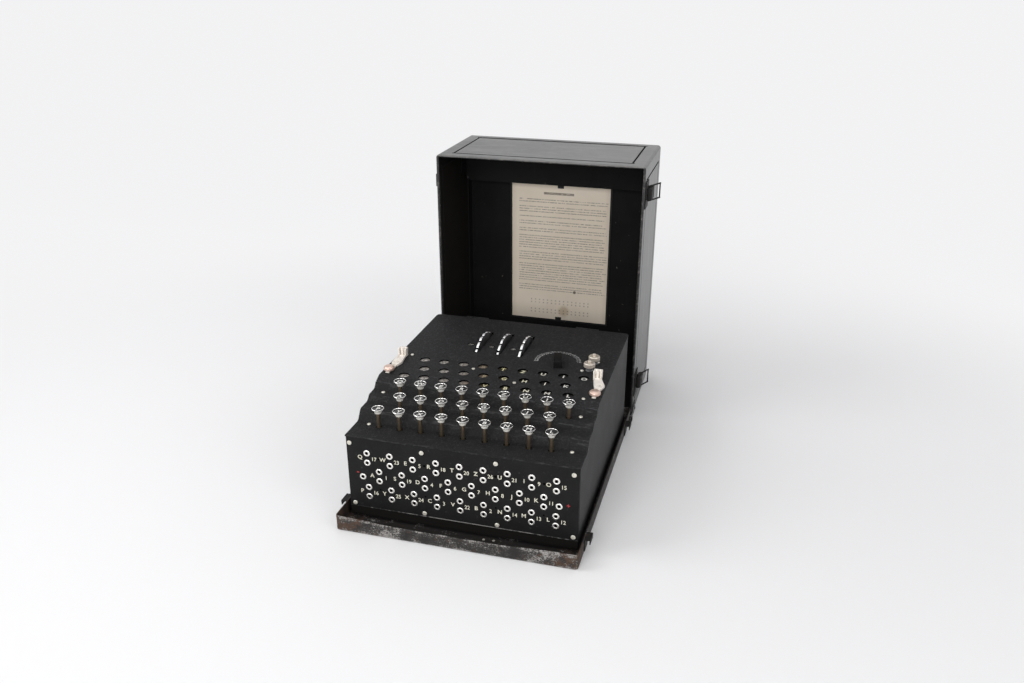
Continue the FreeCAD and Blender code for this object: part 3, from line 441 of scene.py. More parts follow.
def plainPaint(name, base, grain, rough=0.5, vary=0.25, shine=0.5):
    # one colour that varies a little from place to place
    paint = Finish(name, Specular_IOR_Level=shine)
    cloud = paint.noise(grain, 3)
    paint.colour(paint.blend(cloud, [v * (1 - vary) for v in base], [min(v * (1 + vary), 1) for v in base]))
    paint.rough(rough + cloud * 0.1)
    paint.bump(cloud, 0.01)
    return paint.material


def ironFinish():
    # blackened fittings, rubbed grey on their ridges and a little rusty
    paint = Finish("blackIron", Specular_IOR_Level=0.12)
    grimeAndShade = paint.noise(3.0, 5, 0.7)
    rust = paint.fade(paint.noise(5, 4, 0.7, seed=31), 0.58, 0.72)
    shade = paint.blend(grimeAndShade, (0.008, 0.0077, 0.0074), (0.022, 0.021, 0.02))
    shade = paint.blend(rust * 0.6, shade, (0.06, 0.036, 0.025))
    paint.colour(paint.blend(paint.fade(grimeAndShade, 0.63, 0.7) * 0.5, shade, (0.11, 0.10, 0.095)))
    paint.rough(0.42 + grimeAndShade * 0.25)
    paint.bump(grimeAndShade, 0.08)
    return paint.material


def lipFinish():
    # folded sheet edge, its paint rubbed through in patches and painted lighter along the middle as a painted
    # highlight
    paint = Finish("foldedLipWearAndHighlight", Roughness=0.5, Specular_IOR_Level=0.3)
    # painted highlight: more rubbed and lighter along the middle
    along = paint.near(paint.x, 18, 42, 100)
    rub = paint.fade(paint.noise(7, 5, 0.7, seed=31) + along * 0.2, 0.5, 0.72)
    paint.colour(paint.blend(rub, (0.012, 0.012, 0.012), (0.21, 0.205, 0.2)))
    paint.rough(0.5 - rub * 0.1)
    return paint.material


def hoodFinish():
    # worn satin black: a rubbed front rim, a dusty chipped top painted pale as a painted sheen that grows
    # lighter to the right, and sides painted lighter as a painted sheen, with long streaks
    paint = Finish("hoodPaint", Specular_IOR_Level=0.5)
    peel = paint.noise(1.4, 2)
    dirt = paint.noise(45, 5, 0.62)
    streak = paint.noise(9, 4, 0.6, stretch=(1, 1, 0.1), seed=2)
    top = paint.fade(paint.z, places["hoodTop"] - 3, places["hoodTop"] - 0.5)
    swirl = paint.noise(16, 5, 0.68, stretch=(0.3, 1, 1), seed=8, twist=0.7)
    chips = paint.fade(paint.noise(3.5, 5, 0.75, seed=11), 0.63, 0.68)
    rim = paint.near(paint.y, places["hoodFront"], 0.6, 3)
    rimWear = rim * paint.fade(paint.noise(4, 5, 0.7, seed=21), 0.5, 0.64)
    shade = paint.blend(paint.fade(dirt, 0.3, 0.7), (0.010, 0.010, 0.0105), (0.02, 0.02, 0.0205))
    shade = paint.blend(paint.fade(streak, 0.56, 0.7) * 0.5, shade, (0.05, 0.05, 0.051))
    # painted sheen: the outer sides are painted lighter, and lighter still along long streaks that are partly
    # scrapes and partly painted sheen
    outer = paint.fade(paint.size(paint.x), places["hoodHalf"] - 0.5, places["hoodHalf"] + 0.5) * (1 - top)
    scrapeAndSheen = paint.noise(11, 6, 0.75, stretch=(1, 0.5, 0.12), seed=17, twist=0.5)
    scrapeAndSheen = paint.fade(scrapeAndSheen, 0.5, 0.66)
    shade = paint.blend(outer * 0.7, shade, (0.032, 0.032, 0.033))
    shade = paint.blend(outer * scrapeAndSheen * 0.55, shade, (0.075, 0.075, 0.076))
    # painted sheen: the top is painted a pale grey, partly dust, that grows lighter to the right
    paintedLightToRight = paint.fade(paint.x, -150, 150)
    dustAndSheen = paint.blend(paint.fade(swirl, 0.36, 0.68), (0.07, 0.07, 0.07), (0.15, 0.149, 0.146))
    dustAndSheen = paint.blend(paintedLightToRight * 0.45, dustAndSheen, (0.16, 0.159, 0.156))
    shade = paint.blend(top, shade, dustAndSheen)
    shade = paint.blend(top * chips * 0.85, shade, (0.03, 0.027, 0.025))
    # painted shade: dark bands along the front and rear grooves of the top
    grooves = ((places["hoodFront"] + 15, 2.2), (places["hoodRear"] - 15, 3.0))
    grimeAndShade = paint.most(*[paint.near(paint.y, at, reach * 0.55, reach) for at, reach in grooves])
    grimeAndShade = grimeAndShade * top * paint.near(paint.x, 0, places["hoodHalf"] - 16.6, places["hoodHalf"] - 16.2)
    shade = paint.blend(grimeAndShade * 0.9, shade, (0.006, 0.0058, 0.0055))
    paint.colour(paint.blend(rimWear * 0.6, shade, (0.14, 0.13, 0.12)))
    paint.rough(0.2 + dirt * 0.1 + top * swirl * 0.14 + streak * 0.1 + grimeAndShade * 0.6)
    paint.bump(peel + streak * 0.8, 0.05)
    return paint.material


def hoodInsideFinish():
    # flat black inside the hood with faint rubbed streaks and a few bare nicks
    paint = Finish("hoodInside", Specular_IOR_Level=0.09)
    dirt = paint.noise(40, 5, 0.62)
    streak = paint.noise(7, 4, 0.6, stretch=(1, 1, 0.12), seed=2)
    nicks = paint.fade(paint.noise(5, 4, 0.7, stretch=(1, 1, 0.5), seed=14), 0.7, 0.73)
    shade = paint.blend(paint.fade(dirt, 0.3, 0.7), (0.0055, 0.0055, 0.0055), (0.0085, 0.0085, 0.0085))
    shade = paint.blend(paint.fade(streak, 0.6, 0.76) * 0.3, shade, (0.018, 0.018, 0.018))
    paint.colour(paint.blend(nicks, shade, (0.12, 0.11, 0.1)))
    paint.rough(0.62 + dirt * 0.15)
    paint.bump(streak, 0.05)
    return paint.material


def trayFinish():
    # chipped black paint over rusty steel, worst on the front wall and in the corners
    paint = Finish("trayPaint", Specular_IOR_Level=0.22)
    half, front = places["trayHalf"], -places["trayLength"] / 2
    outer = 1 - paint.fade(paint.y - front, 0.6, 2.4)
    inner = 1 - paint.fade(paint.y - front, 10, 45)
    edge = paint.most(paint.fade(paint.z, 13.0, 15.5), 1 - paint.fade(paint.z, 0.8, 4.0))
    corner = paint.fade(paint.size(paint.x), half - 55, half - 4)
    chipNoise = paint.noise(1.7, 6, 0.74, stretch=(0.75, 1, 1.1), seed=3, twist=0.3)
    blot = paint.noise(20, 4, 0.6, seed=7)
    bare = chipNoise * 0.6 + blot * 0.5
    limit = 0.64 - outer * (0.04 + edge * 0.05 + corner * 0.04)
    chips = paint.fade(bare - limit, 0, 0.035)
    thin = paint.fade(bare - limit, -0.09, 0.0) * outer
    rustNoise = paint.noise(7, 5, 0.65, seed=15)
    rust = paint.fade(rustNoise + corner * 0.17 + inner * 0.05, 0.6, 0.76)
    rust = rust * (inner * 0.85 + 0.06 + corner * 0.12)
    paintShade = paint.blend(blot, (0.014, 0.013, 0.0125), (0.03, 0.028, 0.027))
    paintShade = paint.blend(thin * 0.6, paintShade, (0.075, 0.07, 0.066))
    steel = paint.blend(paint.noise(1.6, 4, 0.7, seed=19), (0.15, 0.145, 0.14), (0.46, 0.44, 0.42))
    brown = paint.blend(paint.noise(2.4, 5, 0.7, seed=23), (0.03, 0.017, 0.012), (0.11, 0.068, 0.048))
    shade = paint.blend(chips, paintShade, steel)
    paint.colour(paint.blend(rust * (1 - chips * 0.6), shade, brown))
    paint.rough(0.5 + rust * 0.3 + chips * 0.08)
    paint.metal(chips * 0.3)
    paint.bump(bare * 0.6 - chips * 0.5 + rust * rustNoise * 0.6, 0.12)
    return paint.material


card = {
    "left": -72.95, "wide": 143.5, "foot": 74.0, "linePitch": 3.62, "printRight": 78,
    "printFoot": (118, 119), "printHead": (258, 259), "blankLines": (36, 39, 42, 44, 48, 29, 15, 24),
    "headingX": -4, "headingZ": 266.5, "headingHalf": 22, "dotRows": (103.5, 99.0, 88.5, 84.0),
    "dotPitch": 6.2, "dotStart": -40, "stain": (7.0, 323.0, 88.0), "inkSpot": (22.5, 323.0, 119.5),
}


def cardFinish():
    # aged card with rows of unreadable print, four dotted rows, a stain and an ink spot
    paper = Finish("cardPaper")

    def scribble(x, y, z, detail):
        spot = paper.node("CombineXYZ", {0: x, 1: y, 2: z})
        return paper.node("TexNoise", {"Vector": spot, "Scale": 1.0, "Detail": detail})

    fibre = paper.noise(0.9, 4, 0.7)
    cloud = paper.noise(34, 4, 0.6, seed=3)
    lines = (paper.z - card["foot"]) / card["linePitch"]
    row, rowIndex = paper.maths("FRACT", lines), paper.maths("FLOOR", lines)
    inRow = paper.within(row, (0.3, 0.4), (0.62, 0.74))
    words = scribble(paper.x * 0.42, rowIndex * 7.31, 0.0, 2.0)
    glyphs = scribble(paper.x * 1.5, rowIndex * 3.77, row * 2.5, 1.0)
    ends = scribble(0.0, rowIndex * 5.13, 4.0, 0.0)  # lines end at different places
    span = paper.fade(paper.x, card["left"] + 10, card["left"] + 11)
    span = span * (1 - paper.fade(paper.x + ends * 26, card["printRight"], card["printRight"] + 1))
    gaps = 1.0  # blank lines between the paragraphs
    for blank in card["blankLines"]:
        gaps = gaps * paper.fade(paper.size(rowIndex - blank), 0.4, 0.5)
    band = paper.within(paper.z, card["printFoot"], card["printHead"]) * gaps
    ink = inRow * paper.fade(words, 0.36, 0.42) * paper.fade(glyphs, 0.38, 0.5) * span * band
    half = card["headingHalf"]
    title = paper.near(paper.z, card["headingZ"], 1.5, 1.9)
    title = title * paper.near(paper.x, card["headingX"], half, half + 0.4) * paper.fade(glyphs, 0.36, 0.42)
    dotX = paper.maths("FRACT", (paper.x - card["dotStart"]) / card["dotPitch"])
    rows = paper.most(*[paper.near(paper.z, height, 0.8, 1.2) for height in card["dotRows"]])
    dots = paper.within(dotX, (0.3, 0.4), (0.62, 0.72)) * rows
    dots = dots * paper.near(paper.x, 0, 44, 45) * paper.fade(glyphs, 0.34, 0.44)
    printed = paper.least(ink * 0.72 + title * 0.75 + dots * 0.5, 0.85)
    stain = 1 - paper.fade(paper.noise(6, 3, seed=6) * 5 + paper.reach(card["stain"]) * 0.9, 6, 13)
    spot = 1 - paper.fade(paper.reach(card["inkSpot"]), 1.5, 3.0)
    edge = paper.fade(paper.size(paper.x + 1.2), card["wide"] / 2 - 9, card["wide"] / 2)
    shade = paper.blend(cloud, (0.74, 0.64, 0.52), (0.84, 0.75, 0.63))
    shade = paper.blend(edge * 0.3, shade, (0.52, 0.43, 0.33))
    shade = paper.blend(stain * 0.55, shade, (0.40, 0.28, 0.14))
    shade = paper.blend(spot * 0.85, shade, (0.06, 0.045, 0.03))
    paper.colour(paper.blend(printed, shade, (0.07, 0.06, 0.05)))
    paper.rough(0.78 + fibre * 0.1)
    paper.bump(fibre, 0.02)
    return paper.material


def filmFinish():
    # celluloid film painted pale to the left, brown in the middle and dark to the right, as a painted
    # reflection that fades across the machine
    film = Finish("filmSheet", Roughness=0.3)
    cloud = film.noise(9, 4, 0.6)
    along = film.node("ValToRGB", {0: film.fade(film.x + (cloud - 0.5) * 30, -110, 60)}, stops=[
        (0.0, (0.46, 0.43, 0.40)), (0.34, (0.36, 0.335, 0.305)), (0.5, (0.19, 0.15, 0.115)),
        (0.66, (0.035, 0.03, 0.016)), (1.0, (0.008, 0.008, 0.008))])
    film.colour(along)
    film.rough(0.32 + cloud * 0.2)
    film.bump(cloud, 0.02)
    return film.material


def filmLetterFinish():
    # the film's letters, painted with the film's reflection: dark to the left, where the film is pale, and
    # light to the right
    ink = Finish("filmLetters")
    cloud = ink.noise(5, 3)
    tone = ink.node("ValToRGB", {0: ink.fade(ink.x, -110, 90)}, stops=[
        (0.0, (0.16, 0.145, 0.135)), (0.34, (0.12, 0.10, 0.085)), (0.47, (0.42, 0.33, 0.22)),
        (0.6, (0.78, 0.72, 0.40)), (0.75, (0.84, 0.80, 0.55)), (1.0, (0.84, 0.82, 0.76))])
    ink.colour(ink.blend(cloud * 0.2, tone, (0.12, 0.11, 0.09)))
    ink.rough(0.5 + cloud * 0.1)
    return ink.material


paints = {
    "cover": crackleFinish("crackleCover", (0.0135, 0.0135, 0.0145), (0.07, 0.07, 0.075),
                           [("y", -57.0, 3.5), ("x", 130.5, 2.5), ("x", -130.5, 2.5)]),
    "keyboard": crackleFinish("crackleKeyboard", (0.0095, 0.0095, 0.01), (0.062, 0.062, 0.064),
                              [("y", -144.2, 2.0), ("y", -103.0, 5.0), ("y", -79.0, 4.5),
                               ("y", -58.5, 3.0), ("x", 130.5, 2.0), ("x", -130.5, 2.0)]),
    "panel": satinFinish("panelPaint", (0.0075, 0.0075, 0.0078), (0.045, 0.045, 0.045),
                         rough=0.5, grain=0.05, scuff=0.66, gloss=0.12),
    "housing": satinFinish("housingPaint", (0.013, 0.013, 0.0138), (0.06, 0.06, 0.062),
                           rough=0.44, grain=0.06, scuff=0.7, stretch=(0.4, 0.4, 1), gloss=0.2),
    "hood": hoodFinish(),
    "hoodInside": hoodInsideFinish(),
    "lip": lipFinish(),
    # near black: painted shade in the hood's pressed grooves; also the strip below the panel's lip
    "groove": plainPaint("nearBlackMatte", (0.006, 0.0055, 0.005), rough=0.8, grain=2, vary=0.3, shine=0.1),
    "tray": trayFinish(),
    "card": cardFinish(),
    "film": filmFinish(),
    "filmLetters": filmLetterFinish(),
    "catch": metalFinish("catchPlate", (0.80, 0.75, 0.69), (0.50, 0.42, 0.35),
                         rough=0.5, grimeAndShade=0.35, grain=3.0, metal=0.2),
    "nickel": metalFinish("nickelPlate", (0.80, 0.78, 0.75), (0.42, 0.36, 0.30),
                          rough=0.2, grimeAndShade=0.35, grain=1.6),
    "ring": metalFinish("nickelRing", (0.86, 0.85, 0.83), (0.5, 0.46, 0.42),
                        rough=0.16, grimeAndShade=0.25, grain=1.6),
    "cup": metalFinish("keyCup", (0.86, 0.84, 0.78), (0.5, 0.43, 0.34),
                       rough=0.4, grimeAndShade=0.3, grain=1.4, metal=0.25),
    "stem": metalFinish("brownedBrass", (0.15, 0.115, 0.078), (0.035, 0.026, 0.018),
                        rough=0.28, grimeAndShade=0.8, grain=2.2, metal=0.8),
    "bright": metalFinish("brightRim", (0.92, 0.92, 0.92), (0.66, 0.66, 0.66),
                          rough=0.32, grimeAndShade=0.2, grain=3.0, metal=0.5),
    "steel": metalFinish("greySteel", (0.26, 0.26, 0.27), (0.12, 0.12, 0.12),
                         rough=0.38, grimeAndShade=0.5, grain=3.0),
    "iron": ironFinish(),
    "copper": metalFinish("coppery", (0.66, 0.49, 0.42), (0.36, 0.24, 0.19),
                          rough=0.34, grimeAndShade=0.5, grain=1.6, metal=0.7),
    "pinkish": metalFinish("wornBrass", (0.60, 0.54, 0.47), (0.30, 0.24, 0.19),
                           rough=0.36, grimeAndShade=0.5, grain=1.4, metal=0.6),
    "board": plainPaint("brownBoard", (0.16, 0.085, 0.04), grain=6),
    "bakelite": satinFinish("blackMoulded", (0.004, 0.004, 0.0042), (0.02, 0.02, 0.02),
                            rough=0.45, grain=0.03, scuff=0.68, gloss=0.1),
    "cream": plainPaint("creamInk", (0.66, 0.64, 0.53), rough=0.6, grain=1.2, vary=0.3),
    "socket": metalFinish("socketRing", (0.84, 0.825, 0.79), (0.45, 0.41, 0.36),
                          rough=0.24, grimeAndShade=0.35, grain=1.6, metal=0.8),
    "screw": metalFinish("screwHead", (0.68, 0.66, 0.59), (0.36, 0.32, 0.26),
                         rough=0.4, grimeAndShade=0.4, grain=0.9, metal=0.5),
    "white": plainPaint("whiteInk", (0.78, 0.77, 0.73), grain=1.2, vary=0.12),
    "greyInk": plainPaint("greyInk", (0.42, 0.42, 0.41), rough=0.6, grain=1.4, vary=0.75),
    "insert": plainPaint("keyInsert", (0.012, 0.012, 0.013), rough=0.25, grain=2),
    # near black: the rotor numbers' print, and painted shade in bores, holes and the thumb-wheel valleys
    "hole": plainPaint("darkHole", (0.002, 0.002, 0.002), rough=0.9, grain=2, shine=0.0),
    "red": plainPaint("redMark", (0.32, 0.02, 0.025), rough=0.6, grain=1.0, vary=0.4),
}
print("finishes ready")


def dress(finish, *names):
    for name in names:
        for spot in nodes[name].material_slots:
            spot.material = paints[finish]
        if not nodes[name].material_slots:
            nodes[name].data.materials.append(paints[finish])


dress("tray", "base_tray")
dress("iron", "tray_fittings", "latch_plates", "rotor_frame")
dress("housing", "machine_housing", "card_frame")
dress("panel", "plug_panel")
dress("card", "instruction_card")
dress("hood", "case_hood")
dress("cover", "rotor_cover", "lamp_mask", "slot_bars")
dress("keyboard", "keyboard_cover")
dress("board", "key_contact_bank", "lamp_board")
dress("film", "letter_film")
dress("bright", "rotor_spindle", "rotor_left", "rotor_middle", "rotor_right")
dress("bakelite", "fixed_wheels", "switch_knob")
dress("nickel", "plug_sockets", "cover_catch_right", "cover_catch_left")
dress("pinkish", "terminals")
dress("stem", *[f"key_{letter}" for row, letter, x in keyPlaces()])
for side in ("right", "left"):
    for end in ("rear", "front"):
        dress("iron", f"latch_lever_{side}_{end}", f"latch_bail_{side}_{end}")
print("frame dressed")

keyParts = {
    "stemFoot": 88.4, "stemRadius": 2.2, "cupFoot": 6.3, "ringRadius": 6.9, "ringInner": 5.95,
    "insertDepth": 1.0, "letterSize": 8.2,
}


def keyAt(letter, x, y, top):  # stem, cup, ring and dark insert in one turned piece, and the letter
    k = keyParts
    body = turnProfile([
        (0, k["stemFoot"] - top), (k["stemRadius"], k["stemFoot"] - top),
        (k["stemRadius"], -k["cupFoot"] - 0.2), (3.2, -k["cupFoot"] - 0.1), (3.5, -k["cupFoot"] + 0.2),
        (3.9, -4.9), (4.35, -3.7), (5.2, -2.6), (6.3, -1.7), (k["ringRadius"] - 0.15, -1.15),
        (k["ringRadius"], -0.8), (k["ringRadius"], -0.3), (k["ringRadius"] - 0.3, 0),
        (k["ringInner"] + 0.25, 0), (k["ringInner"], -0.3), (k["ringInner"] - 0.1, -k["insertDepth"]),
        (0, -k["insertDepth"]),
    ], 28)
    painted(body, paints["cup"])
    paintFaces(body, paints["stem"], lambda c, n: c.z < -k["cupFoot"] - 0.12)
    paintFaces(body, paints["ring"], lambda c, n: c.z > -1.2 and math.hypot(c.x, c.y) > k["ringInner"])
    paintFaces(body, paints["insert"], lambda c, n: c.z > -k["insertDepth"] - 0.1
               and math.hypot(c.x, c.y) < k["ringInner"] - 0.02 and c.z < -0.5)
    glyph = painted(letters(letter.upper(), k["letterSize"], (0, 0, -k["insertDepth"] + 0.06), bold=0.14),
                    paints["white"])
    for piece in (body, glyph):
        piece.data.transform(Matrix.Translation(Vector((x, y, top)) * unit))
    return joined([body, glyph])


for row, letter, x in keyPlaces():
    key = keyAt(letter, x, behind(row["keyY"]), row["keyTop"])
    finished(key, f"keyTop_{letter}", f"key_{letter}")
    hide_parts(f"key_{letter}")
print("keys done")

plugs = {
    "pitch": 26.47, "first": -106.2, "rowTop": 85.6, "rowPitch": 21.39, "pair": 11.78,
    "ring": 3.85, "bore": 1.85, "proud": 0.9, "depth": 9.0, "tube": 3.3, "letterSize": 6.7, "letterLeft": 8.3,
    "numberSize": 6.6, "numberRight": 7.9, "numberDrop": 0.8, "inkProud": 0.02, "singles": (-112.4, 108.8),
    "singleZ": 55.5,
}
plugRows = [
    ([("Q", 17), ("W", 23), ("E", 5), ("R", 18), ("T", 20), ("Z", 26), ("U", 21), ("I", 9), ("O", 15)], 0.0),
    ([("A", 1), ("S", 19), ("D", 4), ("F", 6), ("G", 7), ("H", 8), ("J", 10), ("K", 11)], 0.5),
    ([("P", 16), ("Y", 25), ("X", 24), ("C", 3), ("V", 22), ("B", 2), ("N", 14), ("M", 13), ("L", 12)], 0.0),
]  # each row's letters and numbers, and its shift to the right in pitches


def socketBlank():
    p = plugs
    ring = turnProfile([
        (p["bore"], -p["depth"]), (p["bore"], p["proud"] - 0.45), (p["bore"] + 0.12, p["proud"] - 0.2),
        (p["bore"] + 0.4, p["proud"] - 0.05), (p["bore"] + 0.8, p["proud"]),
        (p["ring"] - 0.75, p["proud"] - 0.02), (p["ring"] - 0.35, p["proud"] - 0.16),
        (p["ring"] - 0.08, p["proud"] - 0.42), (p["ring"], 0.0), (p["tube"], 0.0), (p["tube"], -p["depth"]),
        (p["bore"], -p["depth"]),
    ], 36)
    painted(ring, paints["socket"])
    # painted shade: a near-black disc at the foot of the bore
    floor = addRod(p["bore"] + 0.2, 0.4, (0, 0, -p["depth"] + 0.4), 16)
    painted(floor, paints["hole"])
    for piece in (ring, floor):
        piece.data.transform(facePanel)
    socket = joined([ring, floor])
    # painted shade: the bore's walls take near-black paint
    paintFaces(socket, paints["hole"],
               lambda c, n: math.hypot(c.x, c.z) < p["bore"] + 0.05 and c.y > -0.55)
    return socket


facePanel = Matrix.Rotation(math.pi / 2, 4, "X")
upright = (math.pi / 2, 0, 0)
face = places["panelY"]
ink = face - plugs["inkProud"]
blank = socketBlank()
sockets, signs = [], []
for rowIndex, (pairs, shift) in enumerate(plugRows):
    for step, (letter, number) in enumerate(pairs):
        x = plugs["first"] + plugs["pitch"] * (step + shift)
        z = plugs["rowTop"] - plugs["rowPitch"] * rowIndex
        sockets += [copied(blank, (x, face, z)), copied(blank, (x, face, z - plugs["pair"]))]
        middle = z - plugs["pair"] / 2
        signs.append(letters(letter, plugs["letterSize"], (x - plugs["letterLeft"], ink, middle), upright,
                             bold=0.1, wide=1.05))
        spot = (x + plugs["numberRight"], ink, middle - plugs["numberDrop"])
        signs.append(letters(str(number), plugs["numberSize"], spot, upright, bold=0.07, wide=0.95))
for x in plugs["singles"]:
    sockets.append(copied(blank, (x, face, plugs["singleZ"])))
bpy.data.objects.remove(blank)
socketSet = finished(joined(sockets), "plugSocketRings", "machine")
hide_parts("plug_sockets")
finished(painted(joined(signs), paints["cream"]), "panelLettering", "machine")
print("sockets done")

screws = {
    "high": 1.1, "slot": 0.75, "panelRadius": 2.6, "coverRadius": 2.0, "shelfRadius": 2.2,
    "panelTop": ((-126, -42.6, 40, 123.8), 95.8), "panelFoot": ((-124.2, -41.7, 41.1, 124.7), 20),
    "cover": [(-113.8, 160), (-29.3, 141), (27.4, 117.5), (95.2, 170.5), (109.3, 198.8), (111.8, 98.8)],
    "shelf": [(-116.4, 74.8, 122.3), (113.7, 76.7, 122.3), (-115, 29, 105), (115, 29, 105)],
}


def screwBlank(radius):
    high, slot = screws["high"], screws["slot"]
    head = turnProfile([(0, 0), (radius, 0), (radius, high * 0.35), (radius * 0.86, high * 0.8),
                        (radius * 0.5, high), (0, high)], 24)
    cutOut(head, [addBlock((-radius * 1.2, -slot / 2, high * 0.45), (radius * 1.2, slot / 2, high * 2))])
    return painted(head, paints["screw"])


def screwsAt(spots, name, body, radius, tilt=None):
    blankScrew = screwBlank(radius)
    made = []
    for x, y, z in spots:
        turn = Matrix.Rotation(dice.uniform(0, math.pi), 4, "Z")
        made.append(copied(blankScrew, (x, y, z), tilt @ turn if tilt else turn))
    bpy.data.objects.remove(blankScrew)
    return finished(joined(made), name, body)


panelScrews = [(x, face, z) for row, z in (screws["panelTop"], screws["panelFoot"]) for x in row]
screwsAt(panelScrews, "panelScrews", "machine", screws["panelRadius"], facePanel)
top = places["coverTop"]
screwsAt([(x, behind(y), top) for x, y in screws["cover"]], "coverScrews", "inner_cover",
         screws["coverRadius"])
screwsAt([(x, behind(y), z) for x, y, z in screws["shelf"]], "keyboardScrews", "machine",
         screws["shelfRadius"])

panelTrim = {
    "lipHalf": 129.6, "lipFoot": 16.0, "lipTop": 16.8, "lipProud": 0.5, "skirtFoot": 5.1, "skirtProud": 0.08,
    "upperHoles": (-92.8, -39.9, 39.6, 92.4), "upperZ": 80.2, "upperRadius": 1.3,
    "lowerHoles": (-92.6, -40.0, 39.8, 92.6), "lowerZ": 41.5, "lowerRadius": 1.0,
}
half = panelTrim["lipHalf"]
lip = addBlock((-half, face - panelTrim["lipProud"], panelTrim["lipFoot"]),
               (half, face + 0.2, panelTrim["lipTop"]))
lip = painted(softened(lip, 0.2, 2, 60), paints["lip"])
skirt = addBlock((-half, face - panelTrim["skirtProud"], panelTrim["skirtFoot"]),
                 (half, face + 0.2, panelTrim["lipFoot"] + 0.1))
finished(joined([lip, painted(skirt, paints["groove"])]), "panelLip", "machine")

# painted shade: near-black discs on the panel face stand for small holes
marks = []
for row in ("upper", "lower"):
    for x in panelTrim[row + "Holes"]:
        marks.append(addRod(panelTrim[row + "Radius"], 0.3, (x, face, panelTrim[row + "Z"]), 16, "y"))
finished(painted(joined(marks), paints["hole"]), "panelHoleShade", "machine")
reds = [letters("+", 7, (118.6, ink, 57.5), upright, bold=0.2),
        letters("-", 9, (-118.2, ink, 60.8), upright, bold=0.25)]
finished(painted(joined(reds), paints["red"]), "poleMarks", "machine")
print("panel trim done")

keyboard = {  # the path is the sheet's outer side in (distance behind the panel, height)
    "path": [(-0.8, 105.0), (34, 105.0), (42, 116.3), (60.5, 116.3), (67, 122.3), (81.5, 122.3), (86, 128.4)],
    "foldRadius": 2.2, "gauge": 1.5, "bore": 3.4,
}


def keyboardSheet():
    half = places["halfCover"]
    startFresh()
    bpy.ops.mesh.primitive_plane_add(size=unit)
    sheet = bpy.context.object
    bpy.ops.object.mode_set(mode="EDIT")
    bpy.ops.mesh.select_mode(type="VERT")
    bpy.ops.mesh.merge(type="CENTER")
    y, z = keyboard["path"][0]
    bpy.ops.transform.translate(value=(-half * unit, behind(y) * unit, z * unit))
    for nextY, nextZ in keyboard["path"][1:]:
        bpy.ops.mesh.extrude_vertices_move(
            TRANSFORM_OT_translate={"value": (0, (nextY - y) * unit, (nextZ - z) * unit)})
        y, z = nextY, nextZ
    bpy.ops.mesh.select_all(action="SELECT")
    bpy.ops.mesh.extrude_edges_move(TRANSFORM_OT_translate={"value": (2 * half * unit, 0, 0)})
    bpy.ops.mesh.select_all(action="SELECT")
    bpy.ops.mesh.normals_make_consistent(inside=False)
    bpy.ops.object.mode_set(mode="OBJECT")
    if sheet.data.polygons[0].normal.z < 0:
        sheet.data.flip_normals()
    folds = keyboard["path"][1:6]
    roundEdges(sheet, lambda a, b: alongAxis(a, b, 0) and any(
        abs(a.y - behind(y)) < 0.01 and abs(a.z - z) < 0.01 for y, z in folds), keyboard["foldRadius"], 4)
    walled(sheet, keyboard["gauge"])
    cutOut(sheet, [addRod(keyboard["bore"], 40, (x, behind(row["keyY"]), row["keyTop"] - 15), 28)
                   for row, letter, x in keyPlaces()])
    return softened(sheet, 0.3, 2, 50)


sheet = finished(painted(keyboardSheet(), paints["keyboard"]), "keyboardSheet", "machine",
                 flatFaces=True)
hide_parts("keyboard_cover")
print("keyboard cover done")

cover = {
    "front": 86.3, "bend": 96.5, "rear": 298.0, "seamZ": 128.4, "window": 6.0,
    "slotLeft": 3.0, "slotRight": 4.6, "slotLength": 67.0, "letterHole": 7.8, "letterHoleY": 211.5,
    "letterHoleLeft": 13, "hingeX": 75.3, "hingeLength": 15.0, "hingeRadius": 2.5, "hingeOut": 2.8,
    "hingeDown": 1.0, "shaftHole": 3.05,
}
dial = {
    "x": 61.2, "y": behind(190.1), "arc": 27.1, "turn": 13.5, "front": 21.1, "rear": 5.9, "wide": 10.3,
    "high": 8.5, "gap": 0.3, "shaft": 2.95, "ticks": 49, "tickFrom": 6, "tickSweep": 188, "numbers": 25,
    "numberFrom": 8, "numberSweep": 184,
}


